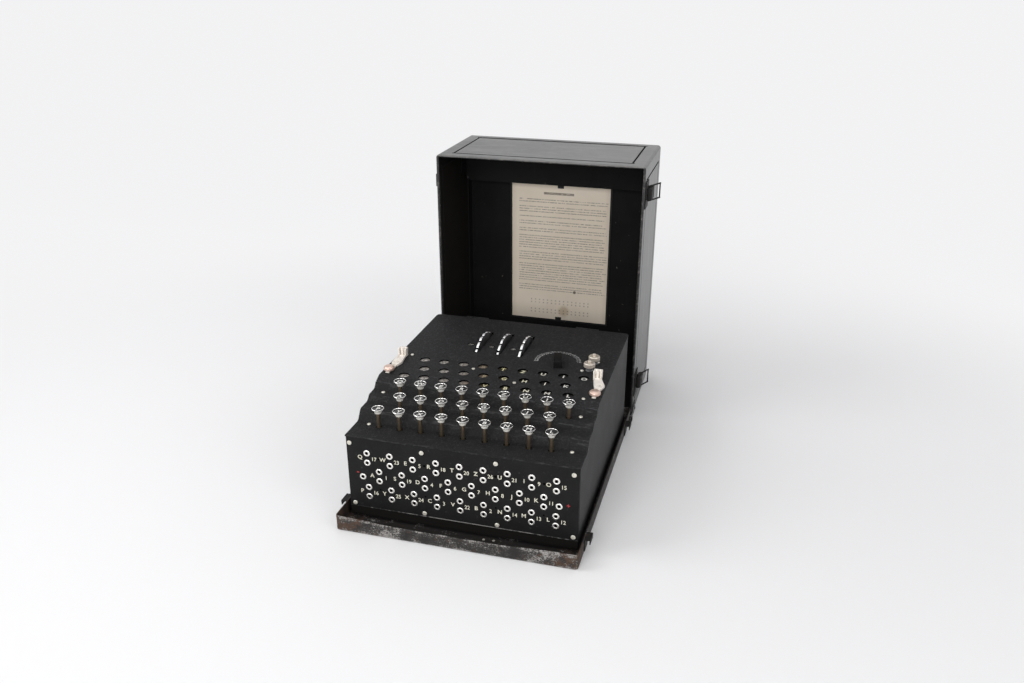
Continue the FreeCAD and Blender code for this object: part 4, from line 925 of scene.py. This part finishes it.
def coverSheet():
    half, low = places["halfCover"], top - places["coverGauge"]
    plate = addBlock((-half, behind(cover["bend"]), low), (half, behind(cover["rear"]), top))
    pickFaces(plate, lambda c, n: n.y < -0.9)
    bpy.ops.mesh.extrude_region_move(TRANSFORM_OT_translate={
        "value": (0, (cover["front"] - cover["bend"]) * unit, (cover["seamZ"] - top) * unit)})
    bpy.ops.object.mode_set(mode="OBJECT")
    roundEdges(plate, lambda a, b: alongAxis(a, b, 0) and abs(a.y - behind(cover["bend"])) < 0.01, 1.4, 3)
    roundEdges(plate, lambda a, b: alongAxis(a, b, 2) and a.y > behind(cover["rear"]) - 0.01, 5.0, 5)
    cutters = [addRod(cover["window"], 8, (x, behind(row["lampY"]), top - 1), 40)
               for row, letter, x in keyPlaces()]
    for x in places["rotorX"].values():
        y, reach = places["rotorY"], cover["slotLength"] / 2
        cutters.append(addBlock((x - cover["slotLeft"], y - reach, top - 5),
                                (x + cover["slotRight"], y + reach, top + 5)))
        hole = (x - cover["letterHoleLeft"], behind(cover["letterHoleY"]), top)
        cutters.append(addRod(cover["letterHole"] / 2, 10, hole, 28))
    cutters.append(addRod(cover["shaftHole"], 8, (dial["x"], dial["y"], top), 24))
    cutOut(plate, cutters)
    softened(plate, 0.25, 2, 50)
    barrels = []
    for side in (1, -1):
        middle = side * (cover["hingeX"] + cover["hingeLength"] / 2)
        y, z = behind(cover["rear"] + cover["hingeOut"]), low - cover["hingeDown"]
        barrel = addRod(cover["hingeRadius"], cover["hingeLength"], (middle, y, z), 20, "x")
        tongue = addBlock((middle - cover["hingeLength"] / 2, behind(cover["rear"] - 1), low),
                          (middle + cover["hingeLength"] / 2, y, top))
        barrels += [barrel, tongue]
    return joined([plate] + barrels)


lid = painted(coverSheet(), paints["cover"])
windows = [(x, behind(row["lampY"])) for row, letter, x in keyPlaces()]
# painted shade: the window bores' walls take near-black paint
paintFaces(lid, paints["hole"], lambda c, n: abs(n.z) < 0.5 and any(
    math.hypot(c.x - x, c.y - y) < cover["window"] + 0.1 for x, y in windows))
lid = finished(lid, "hingedCover", "inner_cover", flatFaces=True)
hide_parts("rotor_cover", "lamp_mask", "slot_bars")

film = {"half": 126, "front": 98.5, "rear": 166, "top": 131.0, "gauge": 0.2, "letterSize": 9.0,
        "letterUp": 1.9}
filmSheet = addBlock((-film["half"], behind(film["front"]), film["top"] - film["gauge"]),
                     (film["half"], behind(film["rear"]), film["top"]))
filmSheet = painted(softened(filmSheet, 0.05, 1, 60), paints["film"])
filmSheet = finished(filmSheet, "letterSheet", "inner_cover")
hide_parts("letter_film")
filmMarks = []
for row, letter, x in keyPlaces():
    spot = (x, behind(row["lampY"]) + film["letterUp"], film["top"])
    filmMarks.append(letters(letter.upper(), film["letterSize"], spot, bold=0.22))
finished(painted(joined(filmMarks), paints["filmLetters"]), "filmLettering", "inner_cover")
print("hinged cover done")

rotor = {
    "thumb": 52.0, "thumbWide": 2.6, "lobes": 26, "perLobe": 10, "depth": 1.9, "letterRing": 40.4,
    "letterNear": 8.0, "letterWide": 10.0, "core": 36.0, "left": 21.0, "right": 4.0, "bore": 4.1,
    "marks": 26, "markSize": 5.2, "pinRing": 31, "pin": 1.3,
}


def thumbRing():
    r = rotor
    startFresh()
    count = r["lobes"] * r["perLobe"]
    bpy.ops.mesh.primitive_circle_add(vertices=count, radius=r["thumb"] * unit, fill_type="NGON")
    ring = bpy.context.object
    for vert in ring.data.vertices:  # valleys between the lobes
        angle = math.atan2(vert.co.y, vert.co.x)
        lobe = abs(math.cos(angle * r["lobes"] / 2)) ** 0.6
        radius = r["thumb"] - r["depth"] * (1 - lobe)
        vert.co.x, vert.co.y = radius * unit * math.cos(angle), radius * unit * math.sin(angle)
    bpy.ops.object.mode_set(mode="EDIT")
    bpy.ops.mesh.select_all(action="SELECT")
    bpy.ops.mesh.extrude_region_move(TRANSFORM_OT_translate={"value": (0, 0, r["thumbWide"] * unit)})
    bpy.ops.mesh.select_all(action="SELECT")
    bpy.ops.mesh.normals_make_consistent(inside=False)
    bpy.ops.transform.translate(value=(0, 0, -r["thumbWide"] / 2 * unit))
    bpy.ops.object.mode_set(mode="OBJECT")
    roundEdges(ring, lambda a, b: abs(a.z - b.z) < 1e-3, 0.35, 2)
    painted(ring, paints["steel"])
    paintFaces(ring, paints["bright"], lambda c, n: math.hypot(c.x, c.y) > r["thumb"] - r["depth"] - 1)
    # painted shade: the faces at the foot of each valley between the lobes take near-black paint
    paintFaces(ring, paints["hole"], lambda c, n: r["thumb"] - r["depth"] - 1 < math.hypot(c.x, c.y)
               and abs(math.cos(math.atan2(c.y, c.x) * r["lobes"] / 2)) < 0.22)
    return ring


def rotorBlank():  # built with its axis upright, and laid along x at the end
    r = rotor
    near, far = -r["letterNear"], -r["letterNear"] - r["letterWide"]
    core = turnProfile([
        (r["bore"], -r["left"]), (12, -r["left"]), (12.5, -r["left"] + 1.2),
        (r["core"] - 5, -r["left"] + 1.2), (r["core"] - 4, -r["left"]), (r["core"] - 0.6, -r["left"]),
        (r["core"], -r["left"] + 0.6), (r["core"], r["right"] - 0.6), (r["core"] - 0.6, r["right"]),
        (r["bore"], r["right"]), (r["bore"], -r["left"]),
    ], 64)
    painted(core, paints["bakelite"])
    band = turnProfile([
        (r["core"] - 1, far), (r["letterRing"] - 0.4, far), (r["letterRing"], far + 0.4),
        (r["letterRing"], near - 0.4), (r["letterRing"] - 0.4, near), (r["core"] - 1, near),
        (r["core"] - 1, far),
    ], 78)
    painted(band, paints["cup"])
    pieces = [core, band, thumbRing()]
    stand = Matrix.Rotation(math.pi / 2, 4, "Z") @ Matrix.Rotation(math.pi / 2, 4, "X")
    out = Matrix.Translation(Vector((r["letterRing"], 0, -r["letterNear"] - r["letterWide"] / 2)) * unit)
    for step in range(r["marks"]):
        number = letters(f"{step + 1:02d}", r["markSize"], (0, 0, 0), depth=0.1, bold=0.1)
        number.data.transform(Matrix.Rotation(math.tau * step / r["marks"], 4, "Z") @ out @ stand)
        pieces.append(painted(number, paints["hole"]))
    for step in range(r["marks"]):
        angle = math.tau * step / r["marks"]
        spot = (r["pinRing"] * math.cos(angle), r["pinRing"] * math.sin(angle), r["right"] + 0.35)
        pieces.append(painted(addRod(r["pin"], 0.8, spot, 10), paints["stem"]))
    whole = joined(pieces)
    whole.data.transform(Matrix.Rotation(math.pi / 2, 4, "Y"))
    return whole


master = rotorBlank()
for name, x in places["rotorX"].items():
    turn = Matrix.Rotation(math.radians(dice.uniform(-5, 5)), 4, "X")
    wheel = copied(master, (x, places["rotorY"], places["rotorZ"]), turn)
    finished(wheel, f"rotorWheel_{name}", f"rotor_{name}")
    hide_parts(f"rotor_{name}")
bpy.data.objects.remove(master)
print("rotors done")


def dialMarks():
    pieces = []
    base = top + 0.03
    for step in range(dial["ticks"]):
        angle = math.radians(dial["tickFrom"] + step * dial["tickSweep"] / (dial["ticks"] - 1))
        long = 3.0 if step % 4 == 0 else 1.6
        tick = addBlock((dial["arc"] - long / 2, -0.28, base), (dial["arc"] + long / 2, 0.28, base + 0.06))
        pieces.append(copied(tick, (dial["x"], dial["y"], 0), Matrix.Rotation(angle, 4, "Z")))
        bpy.data.objects.remove(tick)
    for step in range(dial["numbers"]):
        angle = math.radians(dial["numberFrom"] + step * dial["numberSweep"] / (dial["numbers"] - 1))
        x = dial["x"] + (dial["arc"] - 3.0) * math.cos(angle)
        y = dial["y"] + (dial["arc"] - 3.0) * math.sin(angle)
        pieces.append(letters(str(step + 1), 2.9, (x, y, base), (0, 0, angle - math.pi / 2),
                              bold=0.08, wide=0.8))
    return joined(pieces)


finished(painted(dialMarks(), paints["greyInk"]), "dialMarks", "inner_cover")
foot = top + dial["gap"]
knob = addBlock((-dial["wide"] / 2, -dial["front"], foot),
                (dial["wide"] / 2, dial["rear"], foot + dial["high"]))
roundEdges(knob, lambda a, b: a.z > top + 5 and b.z > top + 5, 1.1, 3)
shaft = addRod(dial["shaft"], 9.5, (0, 0, top - 1.2), 24)
knob = painted(joined([knob, shaft]), paints["bakelite"])
knob.data.transform(Matrix.Translation(Vector((dial["x"], dial["y"], 0)) * unit)
                    @ Matrix.Rotation(math.radians(dial["turn"]), 4, "Z"))
finished(knob, "switchBar", "switch")
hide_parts("switch_knob")
print("switch done")

terminal = {
    "collar": 4.5, "collarHigh": 4.5, "nut": 6.8, "nutHigh": 6.0, "stud": 2.0, "studTip": 2.5,
    "corners": 80, "near": (103.3, 174), "far": (105, 194), "farTurn": 0.2,
}


def terminalBlank():
    t = terminal
    post = turnProfile([(0, 0), (t["collar"], 0), (t["collar"], 0.8), (t["collar"] - 0.8, 1.4),
                        (t["collar"] - 0.8, t["collarHigh"]), (0, t["collarHigh"])], 32)
    painted(post, paints["steel"])
    nut = turnProfile([(0, 0), (t["nut"] - 0.9, 0), (t["nut"], 0.8), (t["nut"], t["nutHigh"] - 1.2),
                       (t["nut"] - 0.8, t["nutHigh"] - 0.3), (t["nut"] - 2.2, t["nutHigh"]),
                       (2.4, t["nutHigh"]), (2.2, t["nutHigh"] - 0.5), (0, t["nutHigh"] - 0.5)], t["corners"])
    fluted(nut, t["nut"] - 0.1, t["corners"], 0.955)
    nut.data.transform(Matrix.Translation((0, 0, t["collarHigh"] * unit)))
    painted(nut, paints["pinkish"])
    base = t["collarHigh"] + t["nutHigh"]
    stud = turnProfile([(0, base - 1), (t["stud"], base - 1), (t["stud"], base + t["studTip"] - 0.6),
                        (t["stud"] - 0.5, base + t["studTip"]), (0, base + t["studTip"])], 20)
    painted(stud, paints["pinkish"])
    return joined([post, nut, stud])


blank = terminalBlank()
(nearX, nearY), (farX, farY) = terminal["near"], terminal["far"]
pair = [copied(blank, (nearX, behind(nearY), top)),
        copied(blank, (farX, behind(farY), top), Matrix.Rotation(terminal["farTurn"], 4, "Z"))]
bpy.data.objects.remove(blank)
pair = finished(joined(pair), "terminalPosts", "inner_cover")
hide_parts("terminals")
print("terminals done")

catch = {
    "x": 122.5, "wide": 10.0, "postFront": 150.0, "postBack": 158.0, "high": 10.5, "gap": 0.3,
    "lean": {"right": -5.2, "left": -0.7}, "tongue": [(-4.3, 125.7), (4.5, 122.2), (6.8, 131.7)],
    "tongueHigh": 3.0, "strip": 3.5, "stripHigh": 1.5, "knobY": 108.5, "knob": 6.4, "knobHigh": 7.0,
    "knobCorners": 48, "cheek": 1.5, "holeY": 130.5,
}


def catchTongue(corners, low, high):  # a plate drawn from above, given its corners
    startFresh()
    bpy.ops.mesh.primitive_circle_add(vertices=len(corners), radius=unit, fill_type="NGON")
    plate = bpy.context.object
    for vert, (x, y) in zip(plate.data.vertices, corners):
        vert.co = Vector((x, y, low)) * unit
    bpy.ops.object.mode_set(mode="EDIT")
    bpy.ops.mesh.select_all(action="SELECT")
    bpy.ops.mesh.extrude_region_move(TRANSFORM_OT_translate={"value": (0, 0, (high - low) * unit)})
    bpy.ops.mesh.select_all(action="SELECT")
    bpy.ops.mesh.normals_make_consistent(inside=False)
    bpy.ops.object.mode_set(mode="OBJECT")
    return plate


def catchPost(middle, low):  # folded post: two cheeks and a rib, with a pocket on each side of the rib
    c = catch
    half, front, back = c["wide"] / 2, behind(c["postFront"]), behind(c["postBack"])
    post = addBlock((middle - half, front, low), (middle + half, back, low + c["high"]))
    left, right = middle - half + c["cheek"], middle + half - c["cheek"]
    cutOut(post, [addBlock((left, front - 1, low + 1.2), (middle - 0.9, back - 2, low + 20)),
                  addBlock((middle + 1.4, front - 1, low + 1.2), (right, back - 2, low + 20))])
    return roundEdges(post, lambda a, b: alongAxis(a, b, 0) and a.z > low + c["high"] - 0.1
                      and a.y < front + 0.1, 1.2, 3)


def catchKnob(x, low):
    c = catch
    r, h = c["knob"], c["knobHigh"]
    knob = turnProfile([
        (0, 0.6), (r - 2.6, 0.6), (r - 2.2, 1.6), (r - 0.5, 2.0), (r, 2.6), (r, h - 2.2), (r - 0.4, h - 1.3),
        (r - 1.6, h - 0.5), (r - 3.2, h - 0.1), (0, h)], c["knobCorners"])
    fluted(knob, r - 0.6, c["knobCorners"], 0.965)
    knob.data.transform(Matrix.Translation(Vector((x, behind(c["knobY"]), low)) * unit))
    return painted(knob, paints["copper"])


def catchPiece(side):
    c = catch
    low = top + c["gap"]
    x = c["x"] if side == "right" else -c["x"]
    middle = x + c["lean"][side]
    front = behind(c["postFront"])
    corners = [(middle - c["wide"] / 2, front + 0.3)] + [(x + a, behind(b)) for a, b in c["tongue"]]
    corners.append((middle + c["wide"] / 2, front + 0.3))
    tongue = catchTongue(corners, low, low + c["tongueHigh"])
    holeY = behind(c["holeY"])
    cutOut(tongue, [addRod(1.5, 8, (x + 2.6, holeY, low + 4), 20),
                    addRod(1.1, 8, (x - 1.6, holeY - 1.5, low + 4), 20),
                    addBlock((middle - 2.4, front - 9, low + 2.2), (middle + 2.4, front - 1.5, low + 6))])
    strip = addBlock((x - c["strip"], behind(c["knobY"]), low),
                     (x + c["strip"], behind(c["tongue"][1][1]) + 2, low + c["stripHigh"]))
    stud = addBlock((x - 2.2, behind(c["knobY"]) - c["knob"], low), (x + 2.2, behind(c["knobY"]), low + 1.3))
    body = softened(joined([catchPost(middle, low), tongue, strip, stud]), 0.3)
    return joined([painted(body, paints["catch"]), catchKnob(x, low)])


for side in ("right", "left"):
    piece = finished(catchPiece(side), f"catchPlate_{side}", f"catch_{side}")
    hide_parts(f"cover_catch_{side}")
print("catches done")

hood = {
    "gauge": 1.5, "corner": 4.0, "frameInset": 14.0, "grooveWide": 2.3, "grooveDeep": 1.2, "beadWide": 3.2,
    "ledgeY": 297.85, "ledgeLow": 285.0, "ledgeGauge": 1.2, "gusset": 20.0, "hingeY": 167.95, "hingeZ": 3.8,
    "lugGauge": 1.2, "lugFoot": 0.5, "lugTop": 16, "eye": 3.3, "lugRivets": ((7, 12), (17, 12), (17, 4.5)),
}


def pressedFrame(shell, side):  # presses a shallow groove that runs round one face
    reach = places["hoodTop"] if side.z else places["hoodHalf"]
    pickFaces(shell, lambda c, n: n.dot(side) > 0.999 and abs(c.dot(side) - reach) < 0.01)
    bpy.ops.mesh.inset(thickness=hood["frameInset"] * unit, use_boundary=True)
    bpy.ops.mesh.inset(thickness=hood["grooveWide"] * unit)
    shape = bmesh.from_edit_mesh(shell.data)
    inside = {face for face in shape.faces if face.select}
    touching = {near for face in inside for vert in face.verts for near in vert.link_faces}
    for face in inside:
        face.select_set(False)
    for face in touching - inside:
        face.select_set(True)
    bmesh.update_edit_mesh(shell.data)
    bpy.ops.mesh.extrude_region_shrink_fatten(
        TRANSFORM_OT_shrink_fatten={"value": -hood["grooveDeep"] * unit})
    bpy.ops.object.mode_set(mode="OBJECT")


def hoodShell():
    half, front, rear, high = (places[k] for k in ("hoodHalf", "hoodFront", "hoodRear", "hoodTop"))
    shell = addBlock((-half, front, 0), (half, rear, high))
    openFaces(shell, lambda c, n: n.y < -0.9)
    roundEdges(shell, lambda a, b: alongAxis(a, b, 1), hood["corner"], 5)
    roundEdges(shell, lambda a, b: a.y > rear - 0.01 and b.y > rear - 0.01, 2.5, 3)
    for side in (Vector((0, 0, 1)), Vector((1, 0, 0)), Vector((-1, 0, 0))):
        pressedFrame(shell, side)
    walled(shell, hood["gauge"])
    softened(shell, 0.35, 2, 60)
    deep = hood["grooveDeep"]
    painted(shell, paints["hood"])
    paintFaces(shell, paints["hoodInside"], lambda c, n: c.y > front + 0.4 and (
        abs(c.x) < half - 1.3 and c.z < high - 1.3 and c.y < rear - 1.3))
    # painted shade: the pressed grooves on the top and sides take near-black paint
    paintFaces(shell, paints["groove"], lambda c, n: abs(c.x) < half - 6 and front + 6 < c.y < rear - 6
               and high - deep - 0.1 < c.z < high - 0.25)
    paintFaces(shell, paints["groove"], lambda c, n: half - deep - 0.1 < abs(c.x) < half - 0.25
               and 6 < c.z < high - 6 and front + 6 < c.y < rear - 6)
    return shell


def hoodBead():  # rolled rim round the opening
    half, front, high = places["hoodHalf"], places["hoodFront"], places["hoodTop"]
    rim = addBlock((-half, front - 0.6, 4), (half, front + 2.9, high))
    roundEdges(rim, lambda a, b: alongAxis(a, b, 1) and a.z > high - 0.1, hood["corner"], 6)
    openFaces(rim, lambda c, n: abs(n.y) > 0.9 or n.z < -0.9)
    walled(rim, hood["beadWide"])
    return painted(softened(rim, 1.5, 4, 60), paints["hood"])


def hoodInside():  # the ledge across the hood and a gusset at each of its ends
    half = places["hoodHalf"] - hood["gauge"]
    y, low, high = hood["ledgeY"], hood["ledgeLow"], places["hoodTop"] - hood["gauge"]
    gauge = hood["ledgeGauge"]
    ledge = addBlock((-half, y - gauge, low), (half, y, high))
    roundEdges(ledge, lambda a, b: alongAxis(a, b, 1) and a.z < low + 0.1, 8, 6)
    pieces = [softened(ledge, 0.3, 2, 60)]
    for side in (1, -1):
        edges = sorted((side * half, side * (half - gauge)))
        gusset = addBlock((edges[0], y - gauge - hood["gusset"], low + 8), (edges[1], y - 1, high))
        roundEdges(gusset, lambda a, b: alongAxis(a, b, 0) and a.z < low + 9 and a.y < y - 15, 6, 4)
        pieces.append(gusset)
    return joined(pieces)


def hoodLugs():  # the two hinge lugs, each riveted on and ending in an eye
    pieces = []
    front, gauge, foot = places["hoodFront"], hood["lugGauge"], hood["lugFoot"]
    y, z = hood["hingeY"], hood["hingeZ"]
    inner, outer = places["hoodHalf"], places["hoodHalf"] + gauge
    for side in (1, -1):
        left, right = sorted((side * inner, side * outer))
        plate = addBlock((left, front + 2, foot), (right, front + 22, hood["lugTop"]))
        roundEdges(plate, lambda a, b: alongAxis(a, b, 0) and a.z > hood["lugTop"] - 1, 3, 4)
        arm = addBlock((left, y, foot), (right, front + 6, z + hood["eye"]))
        eye = addRod(hood["eye"], gauge, (side * (inner + gauge / 2), y, z), 28, "x")
        rivets = [addRod(1.6, 1.0, (side * (outer + 0.3), front + back, up), 14, "x")
                  for back, up in hood["lugRivets"]]
        pieces += [plate, arm, eye] + rivets
    return joined(pieces)


shell = joined([hoodShell(), hoodBead(), painted(hoodInside(), paints["hoodInside"]),
                painted(hoodLugs(), paints["hood"])])
shell = finished(shell, "hoodShell", "hood", flatFaces=True)
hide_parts("case_hood")
print("hood done")

tray = {
    "corner": 4.0, "gauge": 1.2, "dip": 3.3, "dipLeft": (-135.0, -57.0), "dipRight": (120.0, 35.0),
    "ripple": 0.3, "rippleLength": 7, "frontCuts": 19, "rivet": 1.4,
    "rivets": ((27, -148), (38, -147), (-112, -160), (-98, -163)),
}


def trayPan():
    half, long, wall = places["trayHalf"], places["trayLength"] / 2, places["trayWall"]
    pan = addBlock((-half, -long, 0), (half, long, wall))
    openFaces(pan, lambda c, n: n.z > 0.9)
    roundEdges(pan, lambda a, b: alongAxis(a, b, 2), tray["corner"], 4)
    roundEdges(pan, lambda a, b: a.z < 0.01 and b.z < 0.01, 1.3, 2)
    pickEdges(pan, lambda a, b: alongAxis(a, b, 0) and a.y < -long + 3 and abs(a.x - b.x) > 50)
    bpy.ops.mesh.subdivide(number_cuts=tray["frontCuts"])
    bpy.ops.object.mode_set(mode="OBJECT")
    walled(pan, tray["gauge"])
    softened(pan, 0.35, 2, 60)
    for vert in pan.data.vertices:  # the front wall is bent down along its middle
        x, y, z = vert.co / unit
        if y < -long + 2.5 and z > 8:
            share = min((x - start) / (end - start) for start, end in (tray["dipLeft"], tray["dipRight"]))
            share = max(0.0, min(1.0, share))
            share = share * share * (3 - 2 * share)
            ripple = tray["ripple"] * math.sin(x / tray["rippleLength"])
            vert.co.z -= (tray["dip"] * share + ripple * share) * unit
    return painted(pan, paints["tray"])


pan = finished(trayPan(), "trayPan", "machine")
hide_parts("base_tray")
pins = [addRod(tray["rivet"], 0.7, (x, y, 1.4), 14) for x, y in tray["rivets"]]
finished(painted(joined(pins), paints["screw"]), "trayRivets", "machine")
print("tray done")

latch = {
    "pivot": (139.9, 198.05), "leverHalf": 8.0, "leverInner": 138.2, "leverOuter": 143.6, "leverLong": 17.6,
    "pin": 1.5, "heights": {"rear": 45.0, "front": 306.0},
}


def leverBlank():  # a right-hand lever at z = 0, hollow on its inner side
    px, py = latch["pivot"]
    half = latch["leverHalf"]
    body = addBlock((latch["leverInner"], py - 1.6, -half),
                    (latch["leverOuter"], py + latch["leverLong"], half))
    roundEdges(body, lambda a, b: alongAxis(a, b, 2) and a.x > 143, 3.2, 5)
    roundEdges(body, lambda a, b: alongAxis(a, b, 0) and a.y > py + 15, 3.0, 4)
    cutOut(body, [addBlock((137.0, py + 4, -half + 1.4), (142.2, py + 30, half - 1.4))])
    pin = addRod(latch["pin"], half * 2 - 0.4, (px, py, 0), 14)
    lip = addRod(latch["pin"], half * 2 - 1.0, (142.4, py + 17.4, 0), 14)
    return painted(softened(joined([body, pin, lip]), 0.3, 2, 50), paints["iron"])


leverMaster = leverBlank()
for side, sign in (("right", 1), ("left", -1)):
    for end, height in latch["heights"].items():
        piece = copied(leverMaster, (0, 0, height))
        if sign < 0:
            piece.data.transform(Matrix.Scale(-1, 4, (1, 0, 0)))
            piece.data.flip_normals()
        piece = finished(piece, f"latchLever_{side}_{end}", f"lever_{side}_{end}")
        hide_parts(f"latch_lever_{side}_{end}")
bpy.data.objects.remove(leverMaster)
print("latches done")

stage = {  # white is how bright the paper and the air look to the camera and in reflections
    "wide": 9000, "deep": 7000, "high": 4500, "wall": 1150.0, "curve": 350.0, "sink": 0.3,
    "centre": (20.0, -40.0, 0.0), "fadeFrom": 380, "whiteFrom": 1150, "white": 0.885, "air": 0.34,
}
view = {"place": (281.08, -935.28, 588.18), "target": (18.293, 6.35, 160.174), "roll": 0.045,
        "focal": 916.2, "centre": (514.28, 349.51), "picture": (1024, 683), "sensor": 36}
seenBy = ("Is Camera Ray", "Is Glossy Ray", "Is Transmission Ray")


def makeStage():
    startFresh()
    bpy.ops.mesh.primitive_plane_add(size=1)
    floor = bpy.context.object
    floor.scale = (stage["wide"] * unit, stage["deep"] * unit, 1)
    floor.location = (0, (stage["wall"] - stage["deep"] / 2) * unit, -stage["sink"] * unit)
    applyPlace(floor)
    pickEdges(floor, lambda a, b: a.y > stage["wall"] - 1 and b.y > stage["wall"] - 1)
    bpy.ops.mesh.extrude_edges_move(TRANSFORM_OT_translate={"value": (0, 0, stage["high"] * unit)})
    bpy.ops.object.mode_set(mode="OBJECT")
    roundEdges(floor, lambda a, b: alongAxis(a, b, 0) and a.z < 1 and a.y > stage["wall"] - 1,
               stage["curve"], 12)
    floor.name = "studioFloor"
    pale = Finish("studioPaper", Roughness=0.9, Specular_IOR_Level=0.1)
    cloud = pale.noise(900, 2)
    rays = pale.tree.nodes.new("ShaderNodeLightPath")
    camera, glossy, through = (Value(pale, rays.outputs[ray]) for ray in seenBy)
    seen = pale.least(pale.least(camera + glossy, 1.0) + through, 1.0)
    # away from the object the paper fades into plain white
    far = pale.fade(pale.reach(stage["centre"]), stage["fadeFrom"], stage["whiteFrom"]) * seen
    paper = pale.blend(cloud, (0.81, 0.81, 0.82), (0.83, 0.83, 0.835))
    pale.colour(pale.blend(far, paper, (0.0, 0.0, 0.0)))
    glow = pale.blend(seen, (0.0, 0.0, 0.0), (0.012, 0.012, 0.013))
    glow = pale.blend(far, glow, (stage["white"], stage["white"], stage["white"] + 0.01))
    pale.feed(pale.shader.inputs["Emission Color"], glow)
    pale.shader.inputs["Emission Strength"].default_value = 1.0
    painted(floor, pale.material)
    makeActive(floor)
    bpy.ops.object.shade_smooth()


def addLamp(name, place, aim, size, power):
    startFresh()
    bpy.ops.object.light_add(type="AREA", location=place)
    lamp = bpy.context.object
    lamp.name = name
    lamp.data.shape = "RECTANGLE"
    lamp.data.size, lamp.data.size_y = size
    lamp.data.energy = power
    lamp.rotation_mode = "QUATERNION"
    lamp.rotation_quaternion = (Vector(aim) - Vector(place)).to_track_quat("-Z", "Y")


lamps = {
    "softboxRight": {"place": (1.5, -0.9, 1.0), "aim": (0, 0.05, 0.15), "size": (1.0, 1.2), "power": 8},
    "softboxLeft": {"place": (-1.5, -0.6, 1.3), "aim": (0, 0.05, 0.15), "size": (1.0, 1.2), "power": 14},
    "softboxFront": {"place": (-0.1, -2.1, 1.0), "aim": (0, 0.3, 0.2), "size": (1.6, 0.8), "power": 27},
    "softboxTop": {"place": (-0.2, 0.2, 1.9), "aim": (0, 0.1, 0), "size": (1.4, 1.2), "power": 6},
}  # in metres and watts
makeStage()
for name, lamp in lamps.items():
    addLamp(name, **lamp)

world = bpy.data.worlds.new("studioAir")
bpy.context.scene.world = world
world.use_nodes = True
air = world.node_tree
rays = air.nodes.new("ShaderNodeLightPath")
brightness = rays.outputs[seenBy[0]]
for ray in seenBy[1:]:
    either = air.nodes.new("ShaderNodeMath")
    either.operation = "MAXIMUM"
    air.links.new(brightness, either.inputs[0])
    air.links.new(rays.outputs[ray], either.inputs[1])
    brightness = either.outputs[0]
level = air.nodes.new("ShaderNodeMapRange")
air.links.new(brightness, level.inputs["Value"])
level.inputs["To Min"].default_value, level.inputs["To Max"].default_value = stage["air"], stage["white"]
air.nodes["Background"].inputs["Color"].default_value = (1, 1, 1, 1)
air.links.new(level.outputs[0], air.nodes["Background"].inputs["Strength"])

bpy.ops.object.camera_add(location=[v * unit for v in view["place"]])
camera = bpy.context.object
pictureWide, pictureHigh = view["picture"]
camera.data.sensor_width = view["sensor"]
camera.data.lens = view["focal"] / pictureWide * view["sensor"]
camera.data.shift_x = -(view["centre"][0] - pictureWide / 2) / pictureWide
camera.data.shift_y = (view["centre"][1] - pictureHigh / 2) / pictureWide
camera.data.clip_start, camera.data.clip_end = 0.02, 30
aim = (Vector(view["target"]) - Vector(view["place"])).to_track_quat("-Z", "Y")
camera.rotation_mode = "QUATERNION"
camera.rotation_quaternion = aim @ Quaternion((0, 0, 1), math.radians(view["roll"]))
bpy.context.scene.camera = camera
bpy.context.scene.view_settings.view_transform = "Standard"
print("studio done")
